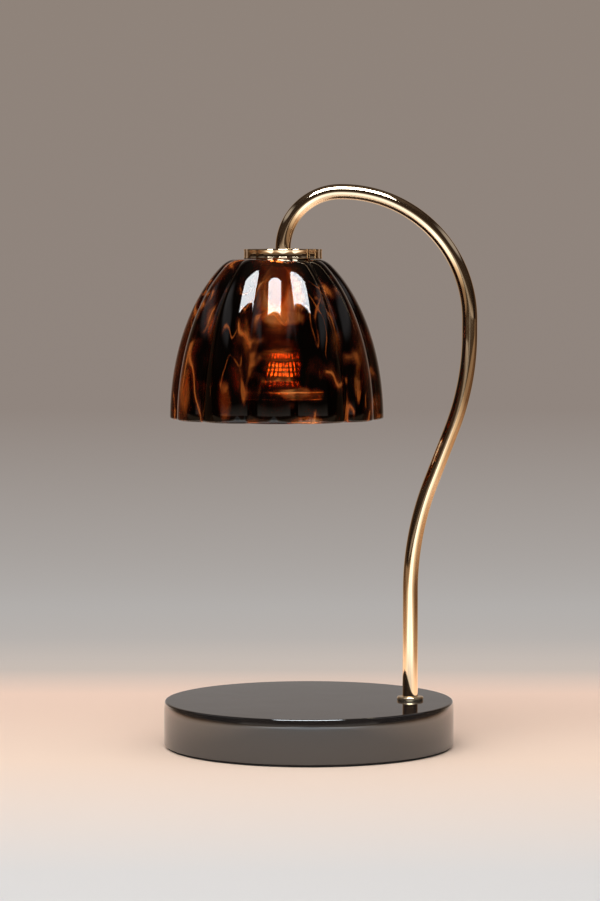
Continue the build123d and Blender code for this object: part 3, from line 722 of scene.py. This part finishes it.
armSizes = {  # in mm and degrees, from the foot up
    "radius": 4.0,
    "bore": 3.0,
    "footRise": 56.6,
    "lowerBend": 156.0,
    "lean": 21.2,
    "slope": 29.0,
    "upperBend": 136.5,
    "side": 7.3,
    "arch": 65.8,
    "crown": 1.0,
    "nose": 29.3,
    "noseInCap": 4.0,
    "stepAngle": 0.75,
    "stepLength": 2.5,
    "around": 96,
    "aroundInside": 32,
}


def armPath():
    size = armSizes
    x, z = footX, heights("base_disc")[1]
    heading = 0.0  # the lean from upright, positive towards +X
    points = [(x, heights("arm_tube")[0])]

    def straight(length):
        nonlocal x, z
        steps = max(1, round(length / size["stepLength"]))
        for _ in range(steps):
            x += length / steps * math.sin(heading)
            z += length / steps * math.cos(heading)
            points.append((x, z))

    def bend(radius, degrees):
        nonlocal x, z, heading
        steps = max(2, round(abs(degrees) / size["stepAngle"]))
        side = 1 if degrees > 0 else -1
        step = math.radians(degrees) / steps
        for _ in range(steps):
            x += side * radius * (math.cos(heading) - math.cos(heading + step))
            z += side * radius * (math.sin(heading + step) - math.sin(heading))
            heading += step
            points.append((x, z))

    straight(size["footRise"])
    bend(size["lowerBend"], size["lean"])
    straight(size["slope"])
    bend(size["upperBend"], -size["lean"])
    straight(size["side"])
    bend(size["arch"], -90)
    straight(size["crown"])
    bend(size["nose"], -90)
    straight(size["noseInCap"])
    return [(px * mm, 0.0, pz * mm) for px, pz in points]


def tubeTree():
    tree = bpy.data.node_groups.new("bentTube", "GeometryNodeTree")
    wanted = [
        ("Line", "NodeSocketGeometry"),
        ("Radius", "NodeSocketFloat"),
        ("Around", "NodeSocketInt"),
        ("Finish", "NodeSocketMaterial"),
    ]
    for label, kind in wanted:
        tree.interface.new_socket(label, in_out="INPUT", socket_type=kind)
    tree.interface.new_socket("Tube", in_out="OUTPUT", socket_type="NodeSocketGeometry")
    given = put(tree, "NodeGroupInput").outputs
    line = put(tree, "GeometryNodeMeshToCurve", {0: given["Line"]}).outputs[0]
    links = {"Resolution": given["Around"], "Radius": given["Radius"]}
    ring = put(tree, "GeometryNodeCurvePrimitiveCircle", links)
    swept = put(tree, "GeometryNodeCurveToMesh", {"Curve": line, "Profile Curve": ring.outputs[0]}).outputs[0]
    smooth = put(tree, "GeometryNodeSetShadeSmooth", {0: swept}).outputs[0]
    real = put(tree, "GeometryNodeRealizeInstances", {0: smooth}).outputs[0]
    coated = put(tree, "GeometryNodeSetMaterial", {"Geometry": real, "Material": given["Finish"]}).outputs[0]
    put(tree, "NodeGroupOutput", {0: coated})
    return tree


def makeArm():
    size = armSizes
    tree = tubeTree()
    path = armPath()
    sides = [
        ("armOutside", size["radius"], size["around"]),
        ("armInside", size["bore"], size["aroundInside"]),
    ]
    walls = []
    for label, radius, around in sides:
        values = {"Radius": radius * mm, "Around": around, "Finish": finishes["polished_gold"]}
        walls.append(makeWithNodes(polylineObject(label + "Line", path), tree, values, label))
    work = bmesh.new()
    for wall in walls:
        work.from_mesh(wall.data)
    for end in (path[0], path[-1]):  # the ring that closes the wall at each end
        reach = 2 * size["radius"] * mm
        near = [e for e in work.edges if e.is_boundary and (e.verts[0].co - Vector(end)).length < reach]
        bmesh.ops.bridge_loops(work, edges=near)
    bmesh.ops.recalc_face_normals(work, faces=work.faces)
    arm, spare = walls
    work.to_mesh(arm.data)
    work.free()
    bpy.data.objects.remove(spare)
    for face in arm.data.polygons:
        face.use_smooth = True
        face.material_index = 0
    arm.name = "armTube"
    return hand(arm, "lamp", "polished_gold", "arm_tube")


makeArm()
print("arm made")


# ring where the arm meets the base

flangeSizes = {
    "radius": 6.85,
    "thickness": 1.8,
    "edge": 0.9,
    "studRadius": 5.0,
    "studBore": 3.0,
    "tubeSeat": 4.02,
    "seatEase": 0.2,
    "segments": 120,
}


def makeFlange():
    size = flangeSizes
    low = heights("foot_flange")[0]
    base = heights("base_disc")[1]
    seat = heights("arm_tube")[0]
    top, r, e = base + size["thickness"], size["radius"], size["edge"]
    stud, bore = size["studRadius"], size["studBore"]
    tube, ease = size["tubeSeat"], size["seatEase"]
    mid = (base + top) / 2
    profile = [(bore, low), (stud, low), (stud, base)]
    profile += corner((r - e / 2, base), (r, base), (r, mid))
    profile += corner((r, mid), (r, top), (r - e, top), steps=8)[1:]
    profile += [(tube + ease, top), (tube, top - ease / 2), (tube, seat), (bore, seat), (bore, low)]
    flange = turnPiece("footRing", profile, footX, "polished_gold", size["segments"])
    return hand(flange, "lamp", "polished_gold", "foot_flange")


makeFlange()


# base disc

baseSizes = {
    "radius": 75.0,
    "footRound": 0.6,
    "footFlat": 0.3,
    "crownFrom": 0.4,
    "crownDrop": 5.2,  # height over which the side leans in
    "crownIn": 0.36,
    "crownPower": 2.2,
    "crownSteps": 10,
    "topRound": 1.0,
    "topIn": 0.06,
    "topFlat": 0.25,
    "segments": 320,
}


def makeBase():
    size = baseSizes
    low, top = heights("base_disc")
    r, f, t, steps = size["radius"], size["footRound"], size["topRound"], size["crownSteps"]
    profile = [(0.0, low), (r - f - size["footFlat"], low)]
    profile += corner((r - f, low), (r, low), (r, low + f), steps=5)
    crownLow = top - t - size["crownDrop"]
    profile += [(r, crownLow - size["crownFrom"])]
    for k in range(steps + 1):  # the polish rounds the side over a little before its edge
        share = k / steps
        inwards = size["crownIn"] * share ** size["crownPower"]
        profile.append((r - inwards, crownLow + size["crownDrop"] * share))
    edge = r - size["crownIn"]
    profile += corner((edge, top - t), (edge - size["topIn"], top), (edge - t, top), steps=8)[1:]
    profile += [(edge - t - size["topFlat"], top), (0.0, top)]
    return turnPiece("baseDisc", profile, 0.0, "polished_black_stone", size["segments"])


def boxCutter(name, low, high, roundness, steps=8):  # an upright block with rounded corners, in mm
    work = bmesh.new()
    ring = []
    left, front = low[0] + roundness, low[1] + roundness
    right, back = high[0] - roundness, high[1] - roundness
    corners = [(right, back, 0), (left, back, 90), (left, front, 180), (right, front, 270)]
    for x, y, start in corners:
        for k in range(steps + 1):
            a = math.radians(start + k * 90 / steps)
            ring.append((x + roundness * math.cos(a), y + roundness * math.sin(a)))
    bottom = [work.verts.new((x * mm, y * mm, low[2] * mm)) for x, y in ring]
    top = [work.verts.new((x * mm, y * mm, high[2] * mm)) for x, y in ring]
    work.faces.new(list(reversed(bottom)))
    work.faces.new(top)
    for k in range(len(ring)):
        work.faces.new((bottom[k], bottom[(k + 1) % len(ring)], top[(k + 1) % len(ring)], top[k]))
    return finishedObject(name, work)


def rodCutter(name, start, end, radius, sides=48):  # a round bar between two points, in mm
    a, b, r = Vector(start) * mm, Vector(end) * mm, radius * mm
    work = bmesh.new()
    bmesh.ops.create_cone(work, cap_ends=True, segments=sides, radius1=r, radius2=r, depth=(b - a).length)
    turn = Vector((0, 0, 1)).rotation_difference(b - a).to_matrix().to_4x4()
    bmesh.ops.transform(work, matrix=turn, verts=work.verts)
    bmesh.ops.translate(work, vec=(a + b) / 2, verts=work.verts)
    return finishedObject(name, work)


def cutAway(piece, cutters):
    for cutter in cutters:
        modifier = piece.modifiers.new(cutter.name, "BOOLEAN")
        modifier.object = cutter
        modifier.operation = "DIFFERENCE"
        modifier.solver = "EXACT"
    graph = bpy.context.evaluated_depsgraph_get()
    mesh = bpy.data.meshes.new_from_object(piece.evaluated_get(graph))
    piece.modifiers.clear()
    piece.data = mesh
    for cutter in cutters:
        bpy.data.objects.remove(cutter)
    return piece


pocketSizes = {
    "roof": 17.5,
    "coverTop": 3.1,
    "left": -22.0,
    "right": 64.0,
    "halfWidth": 13.5,
    "round": 6.0,
    "lip": 4.5,
    "sideLip": 10.5,
    "lipRound": 14.0,
    "studHole": 5.3,
    "cordBore": 3.8,
    "cordHeight": 10.4,
    "cordEnd": 80.0,
    "over": 1.0,  # each cut runs this far past the face that it opens
    "sharpFrom": 35,  # degrees at which an edge stays sharp
}


def hollowBase(disc):
    size = pocketSizes
    low, top = heights("base_disc")
    left, right, roof, over = size["left"], size["right"], size["roof"], size["over"]
    w, lip, cord = size["halfWidth"], size["lip"], size["cordHeight"]
    s = w + size["sideLip"]
    rebateHigh = (right + lip, s, size["coverTop"])
    cutters = [
        boxCutter("rebateCut", (left - lip, -s, low - over), rebateHigh, size["lipRound"]),
        boxCutter("pocketCut", (left, -w, low), (right, w, roof), size["round"]),
        rodCutter("studCut", (footX, 0, roof - over), (footX, 0, top + over), size["studHole"]),
        rodCutter("cordCut", (0, w - over, cord), (0, size["cordEnd"], cord), size["cordBore"]),
    ]
    disc = cutAway(disc, cutters)
    angleLimit = math.radians(size["sharpFrom"])
    work = bmesh.new()
    work.from_mesh(disc.data)
    for edge in work.edges:
        edge.smooth = len(edge.link_faces) == 2 and edge.calc_face_angle(0) < angleLimit
    work.to_mesh(disc.data)
    work.free()
    return hand(disc, "lamp", "polished_black_stone", "base_disc")


hollowBase(makeBase())
print("base and foot ring made")


# socket cup inside the shade

cupSizes = {
    "radius": 16.5,
    "wall": 0.8,
    "edge": 2.4,
    "flatFrom": 0.3,
    "mouthAbove": 4.2,
    "nippleHole": 5.05,
    "segments": 144,
}


def makeCup():
    size = cupSizes
    low, top = heights("socket_cup")
    low += size["mouthAbove"]
    r, w, e = size["radius"], size["wall"], size["edge"]
    flat, under, lip = r - e - size["flatFrom"], top - w, low + w / 2
    profile = [(r - w / 2, low)] + corner((r - w / 2, low), (r, low), (r, lip), steps=3)[1:]
    profile += [(r, top - e - size["flatFrom"])] + corner((r, top - e), (r, top), (r - e, top), steps=8)
    profile += [(flat, top), (size["nippleHole"], top), (size["nippleHole"], under), (flat, under)]
    profile += corner((r - e, under), (r - w, under), (r - w, top - e))
    profile += [(r - w, lip)] + corner((r - w, lip), (r - w, low), (r - w / 2, low), steps=3)[1:]
    cup = turnPiece("socketCup", profile, headX, "polished_gold", size["segments"])
    return hand(cup, "lamp", "polished_gold", "socket_cup")


makeCup()


# bulb: faceted bowl, its front ring and neck

bulbSizes = {
    "radius": 25.3,
    "wall": 1.1,
    "facets": 60,
    "facetDepth": 0.017,
    "facetSteps": 6,
    "facetSoft": 0.004,
    "facetsFrom": 0.5,
    "rows": 4,
    "rowSteps": 6,
    "rowSwell": 0.38,
    "innerDrop": 0.2,
}


def makeBowl(neckLow, ringTop):
    size = bulbSizes
    topR = neckSizes["radius"] - size["wall"] / 2
    steps, w = size["rowSteps"], size["wall"]

    def bowl(k):  # the parabola from the neck to the ring, swelling a little in each row of facets
        share = k / (size["rows"] * steps)
        radius = math.sqrt(topR**2 + share * (size["radius"] ** 2 - topR**2))
        inRow = k % steps / steps
        swell = 4 * size["rowSwell"] * inRow * (1 - inRow)
        return radius + swell, neckLow + (ringTop - neckLow) * share + swell

    outer = [bowl(k) for k in range(size["rows"] * steps + 1)]
    inner = [(r - w, z - size["innerDrop"]) for r, z in outer]
    made = turnPiece(
        "bulbBowl",
        outer + list(reversed(inner)) + [outer[0]],
        headX,
        "faceted_mirror",
        size["facets"] * size["facetSteps"],
        **{
            "Flutes": size["facets"],
            "Flute Depth": size["facetDepth"],
            "Soft Valley": size["facetSoft"],
            "Fluted Outside": size["facetsFrom"] * mm,
        },
    )
    return hand(made, "bulb", "faceted_mirror", "bulb_reflector")


ringSizes = {
    "height": 3.6,
    "round": 0.6,
    "straightFrom": 1.0,
    "straightTo": 0.9,
    "ease": 0.3,
    "lip": 0.2,
    "segments": 144,
}


def makeRing(front, ringTop):
    size = ringSizes
    r, w, soft, ease = bulbSizes["radius"], bulbSizes["wall"], size["round"], size["ease"]
    profile = corner((r - w, front + ease), (r - w, front), (r - w / 2, front), steps=3)
    profile += corner((r - w / 2, front), (r, front), (r, front + soft), steps=4)[1:]
    profile += [(r, front + size["straightFrom"]), (r, ringTop - size["straightTo"])]
    profile += corner((r, ringTop - soft), (r, ringTop), (r - soft, ringTop), steps=4)
    profile += [(r - w - size["lip"], ringTop), (r - w, ringTop - ease), (r - w, front + ease)]
    ring = turnPiece("bulbRing", profile, headX, "faceted_mirror", size["segments"])
    return hand(ring, "bulb", "faceted_mirror")


neckSizes = {
    "radius": 10.0,
    "below": 3.4,
    "ease": 0.3,
    "shoulder": 7.8,
    "shoulderOuter": (9.0, 8.8, 8.2, 7.7),  # mm below the seat: where the outer corner of the step is rounded
    "shoulderInner": (4.6, 4.2, 3.8),  # and its inner corner
    "seatEase": 0.4,
    "segments": 96,
}


def makeNeck(neckLow, seat):
    size = neckSizes
    n, s, ease, seatEase = size["radius"], size["shoulder"], size["ease"], size["seatEase"]
    wall, outerLow, outerTip, outerHigh = (seat - drop for drop in size["shoulderOuter"])
    innerLow, innerTip, innerHigh = (seat - drop for drop in size["shoulderInner"])
    profile = [(0.0, neckLow), (n - ease, neckLow), (n, neckLow + ease), (n, wall)]
    profile += corner((n, outerLow), (n, outerTip), (n - ease, outerHigh), steps=4)
    profile += corner((s + ease, innerLow), (s, innerTip), (s, innerHigh), steps=4)
    profile += [(s, seat - seatEase), (s - seatEase, seat), (0.0, seat)]
    neck = turnPiece("bulbNeck", profile, headX, "white_ceramic", size["segments"])
    return hand(neck, "bulb", "white_ceramic", "bulb_base")


def makeBulb():
    front = heights("bulb_reflector")[0]
    neckLow, seat = heights("bulb_base")
    neckLow -= neckSizes["below"]
    ringTop = front + ringSizes["height"]
    makeBowl(neckLow, ringTop)
    makeRing(front, ringTop)
    makeNeck(neckLow, seat)


makeBulb()
print("bulb and cup made")


# smoothed copies of the round CAD pieces that stay in sight


def smoothTwin(node, name, body, slot, limit=30):  # edges that turn less than the limit in degrees are smooth
    mesh = frame["nodes"][node].data.copy()
    twin = newObject(name, mesh)
    work = bmesh.new()
    work.from_mesh(mesh)
    bmesh.ops.remove_doubles(work, verts=work.verts, dist=weld)
    bmesh.ops.dissolve_degenerate(work, dist=fineWeld, edges=work.edges)
    for edge in work.edges:
        edge.smooth = len(edge.link_faces) == 2 and edge.calc_face_angle(0) < math.radians(limit)
    for face in work.faces:
        face.smooth = True
    work.to_mesh(mesh)
    work.free()
    for k in range(len(mesh.materials)):
        mesh.materials[k] = finishes[slot]
    weigh = twin.modifiers.new("evenNormals", "WEIGHTED_NORMAL")
    weigh.keep_sharp = True
    return hand(twin, body, slot, node)


smoothTwin("cord_grommet", "cordBush", "lamp", "black_rubber")
smoothTwin("bulb_lens", "bulbFront", "bulb", "clear_glass")
smoothTwin("foot_pad", "footPad", "lamp", "black_foam")
print("smooth copies made")


# studio: floor and backdrop, room, lamps and camera

studio = {
    "width": 40.0,
    "front": -20.0,
    "fold": -1.0,
    "wall": 0.53,
    "sweep": 0.06,
    "sweepSteps": 16,
    "wallTop": 0.75,
    "colours": [  # run from the front of the floor up the wall in metres, and the colour there; the warm band around the lamp is a painted pool of light
        (-0.60, (213, 214, 216)),
        (-0.35, (215, 214, 214)),
        (-0.05, (248, 224, 206)),
        (0.20, (247, 217, 199)),
        (0.31, (202, 190, 181)),
        (0.53, (178, 174, 171)),
        (0.68, (144, 133, 126)),
        (0.96, (143, 131, 122)),
    ],
    "sides": [  # metres from the middle, and how much lighter or darker the floor is painted where gloss mirrors it: painted light and shade seen only in reflections
        (0.10, (1, 1, 1, 1)),
        (0.20, (1.5, 1.44, 1.38, 1)),
        (0.30, (1.25, 1.14, 1.04, 1)),
        (0.42, (0.62, 0.47, 0.33, 1)),
        (0.70, (0.20, 0.13, 0.08, 1)),
    ],
    "topDim": (1.0, 0.22, 0.96, 1.12),  # level before, level after, and where along the run it changes
    "farDim": (0.20, 1.0, -2.4, -1.6),
    "frontGain": (1.95, 1.0, -0.42, -0.17),
    "frontGlow": (1.0, 0.0, -0.42, -0.17),
    "backGlow": (0.0, 1.0, 0.10, 0.36),
}


def seenRay(tree):
    path = put(tree, "ShaderNodeLightPath").outputs
    seen = calc(tree, "ADD", path["Is Camera Ray"], path["Is Glossy Ray"])
    links = {0: seen, 1: path["Is Transmission Ray"]}
    return put(tree, "ShaderNodeMath", links, operation="ADD", use_clamp=True).outputs[0]


def backdropMesh():
    half, wall, sweep, steps = studio["width"] / 2, studio["wall"], studio["sweep"], studio["sweepSteps"]
    line = [(studio["front"], 0.0), (studio["fold"], 0.0), (wall - sweep, 0.0)]
    for k in range(1, steps + 1):
        a = math.radians(90 * k / steps)
        line.append((wall - sweep + sweep * math.sin(a), sweep - sweep * math.cos(a)))
    line.append((wall, studio["wallTop"]))
    points = [(x, y, z) for y, z in line for x in (-half, half)]
    faces = [(2 * k, 2 * k + 1, 2 * k + 3, 2 * k + 2) for k in range(len(line) - 1)]
    mesh = bpy.data.meshes.new("backdrop")
    mesh.from_pydata(points, [], faces)
    for face in mesh.polygons:
        face.use_smooth = True
    return mesh


def tinted(tree, first, second, factor=1.0):  # two colours multiplied
    links = {"Factor": factor, 6: first, 7: second}
    return put(tree, "ShaderNodeMix", links, data_type="RGBA", blend_type="MULTIPLY").outputs[2]


def makeBackdrop():
    mesh = backdropMesh()
    backdrop = newObject("backdrop", mesh)
    finish = bpy.data.materials.new("studioPaper")
    finish.use_nodes = True
    tree = finish.node_tree
    tree.nodes.clear()
    split = put(tree, "ShaderNodeSeparateXYZ", {0: objectPlace(tree)}).outputs
    run = calc(tree, "ADD", split["Y"], split["Z"])
    low, high = studio["colours"][0][0], studio["colours"][-1][0]
    links = {"Value": run, "From Min": low, "From Max": high}
    along = put(tree, "ShaderNodeMapRange", links).outputs["Result"]
    stops = [((place - low) / (high - low), colourOf(*colour)) for place, colour in studio["colours"]]
    # the warm band of this ramp is a painted pool of light on the floor
    paperWithPaintedGlow = rampOf(tree, along, stops)
    # painted light and shade of the floor in reflections: lighter in the middle, darker at the sides, dimmer
    # high up and far ahead
    shade = rampOf(tree, calc(tree, "ABSOLUTE", split["X"]), studio["sides"])
    mirrored = put(tree, "ShaderNodeLightPath").outputs["Is Glossy Ray"]
    ends = times(tree, spread(tree, run, *studio["topDim"]), spread(tree, run, *studio["farDim"]))
    colour = tinted(tree, paperWithPaintedGlow, tinted(tree, shade, ends), mirrored)
    matt = put(tree, "ShaderNodeBsdfDiffuse", {"Color": colour}).outputs[0]
    gain = spread(tree, run, *studio["frontGain"])
    glow = put(tree, "ShaderNodeEmission", {"Color": colour, "Strength": gain}).outputs[0]
    behind = spread(tree, run, *studio["backGlow"])
    ahead = times(tree, spread(tree, run, *studio["frontGlow"]), mirrored)
    share = times(tree, calc(tree, "MAXIMUM", behind, ahead), seenRay(tree))
    mixed = put(tree, "ShaderNodeMixShader", {0: share, 1: matt, 2: glow}).outputs[0]
    clear = put(tree, "ShaderNodeBsdfTransparent").outputs[0]
    back = put(tree, "ShaderNodeNewGeometry").outputs["Backfacing"]
    oneSided = put(tree, "ShaderNodeMixShader", {0: back, 1: mixed, 2: clear}).outputs[0]
    put(tree, "ShaderNodeOutputMaterial", {"Surface": oneSided})
    mesh.materials.append(finish)


room = {
    "fill": 0.80,
    "fillColour": (1.0, 0.985, 0.97, 1),
    "mirrored": [  # how far up, and the colour that gloss mirrors there
        (0.0, (166, 154, 144)),
        (0.03, (138, 124, 112)),
        (0.075, (56, 45, 37)),
        (0.45, (46, 36, 30)),
        (0.72, (44, 34, 28)),
        (0.95, (84, 72, 62)),
    ],
    "direct": [(0.0, (206, 205, 206)), (0.20, (150, 139, 131)), (0.5, (143, 131, 122))],
    "screen": (34, 25, 20),
    "screenSide": (0.0, 1.0, 0.78, 0.86),
    "screenTop": (1.0, 0.0, 0.16, 0.30),
    "panel": (158, 153, 152),
    "panelSide": (0.0, 1.0, 0.64, 0.76),
    "panelFoot": (0.0, 1.0, 0.40, 0.50),
    "panelTop": (1.0, 0.0, 0.60, 0.72),
}


def makeWorld():
    world = bpy.data.worlds.new("studio")
    bpy.context.scene.world = world
    world.use_nodes = True
    tree = world.node_tree
    tree.nodes.clear()
    way = put(tree, "ShaderNodeTexCoord").outputs["Generated"]
    split = put(tree, "ShaderNodeSeparateXYZ", {0: way}).outputs
    up, side = split["Z"], calc(tree, "ABSOLUTE", split["X"])

    def upwards(stops):
        return rampOf(tree, up, [(place, colourOf(*colour)) for place, colour in stops])

    def laidOver(under, factor, colour):
        mix = put(tree, "ShaderNodeMix", {"Factor": factor, 6: under}, data_type="RGBA")
        mix.inputs[7].default_value = colourOf(*colour)
        return mix.outputs[2]

    # dark screens stand low at both sides, and pale panels hang above them
    screens = times(tree, spread(tree, side, *room["screenSide"]), spread(tree, up, *room["screenTop"]))
    screened = laidOver(upwards(room["mirrored"]), screens, room["screen"])
    level = times(tree, spread(tree, up, *room["panelFoot"]), spread(tree, up, *room["panelTop"]))
    panels = times(tree, spread(tree, side, *room["panelSide"]), level)
    around = laidOver(screened, panels, room["panel"])
    mirrored = put(tree, "ShaderNodeBackground", {"Color": around, "Strength": 1.0}).outputs[0]
    plain = upwards(room["direct"])
    direct = put(tree, "ShaderNodeBackground", {"Color": plain, "Strength": 1.0}).outputs[0]
    glossy = put(tree, "ShaderNodeLightPath").outputs["Is Glossy Ray"]
    seen = put(tree, "ShaderNodeMixShader", {0: glossy, 1: direct, 2: mirrored}).outputs[0]
    links = {"Color": room["fillColour"], "Strength": room["fill"]}
    lit = put(tree, "ShaderNodeBackground", links).outputs[0]
    mixed = put(tree, "ShaderNodeMixShader", {0: seenRay(tree), 1: lit, 2: seen}).outputs[0]
    put(tree, "ShaderNodeOutputWorld", {"Surface": mixed})


lamps = {
    "softbox": {
        "place": (-0.017, -0.60, 1.30),
        "target": (-0.017, 0.0, 0.2),
        "size": (0.98, 0.60),
        "watts": 32.5,
        "colour": (0.94, 0.97, 1.0),
        "hiddenFrom": ["camera", "diffuse"],
    },
    "key": {
        "place": (-0.35, -0.75, 1.5),
        "target": (0.0, 0.0, 0.1),
        "size": (1.3, 1.0),
        "watts": 11.0,
        "colour": (1.0, 0.97, 0.94),
        "hiddenFrom": ["camera", "glossy"],
    },
    "candleBounce": {  # light thrown back up into the shade
        "place": (headX * mm, -0.012, heights("shade")[0] * mm - 0.004),
        "target": (headX * mm, -0.012, 1),
        "size": (0.08, 0.08),
        "watts": 0.08,
        "colour": (1.0, 0.72, 0.46),
        "hiddenFrom": ["camera", "glossy", "transmission"],
    },
}


def makeLamp(name, look):
    lamp = bpy.data.lights.new(name, "AREA")
    lamp.shape = "RECTANGLE"
    lamp.size, lamp.size_y = look["size"]
    lamp.energy = look["watts"]
    lamp.color = look["colour"]
    item = bpy.data.objects.new(name, lamp)
    bpy.context.scene.collection.objects.link(item)
    item.location = look["place"]
    item.rotation_euler = (Vector(look["target"]) - item.location).to_track_quat("-Z", "Y").to_euler()
    for ray in look["hiddenFrom"]:
        setattr(item, "visible_" + ray, False)


viewpoint = {
    "place": (-0.00459, -1.67506, 0.25223),
    "down": 3.382,
    "lens": 129.88,
    "sensorHeight": 36.0,
    "farthest": 100.0,
}


def makeCamera():
    camera = bpy.data.cameras.new("camera")
    camera.sensor_fit = "VERTICAL"
    camera.sensor_height = viewpoint["sensorHeight"]
    camera.lens = viewpoint["lens"]
    camera.clip_end = viewpoint["farthest"]
    item = bpy.data.objects.new("camera", camera)
    bpy.context.scene.collection.objects.link(item)
    item.location = viewpoint["place"]
    item.rotation_euler = (math.radians(90 - viewpoint["down"]), 0.0, 0.0)
    bpy.context.scene.camera = item


makeBackdrop()
makeWorld()
for name, look in lamps.items():
    makeLamp(name, look)
makeCamera()
bpy.context.scene.view_settings.view_transform = "Standard"
print("studio made")
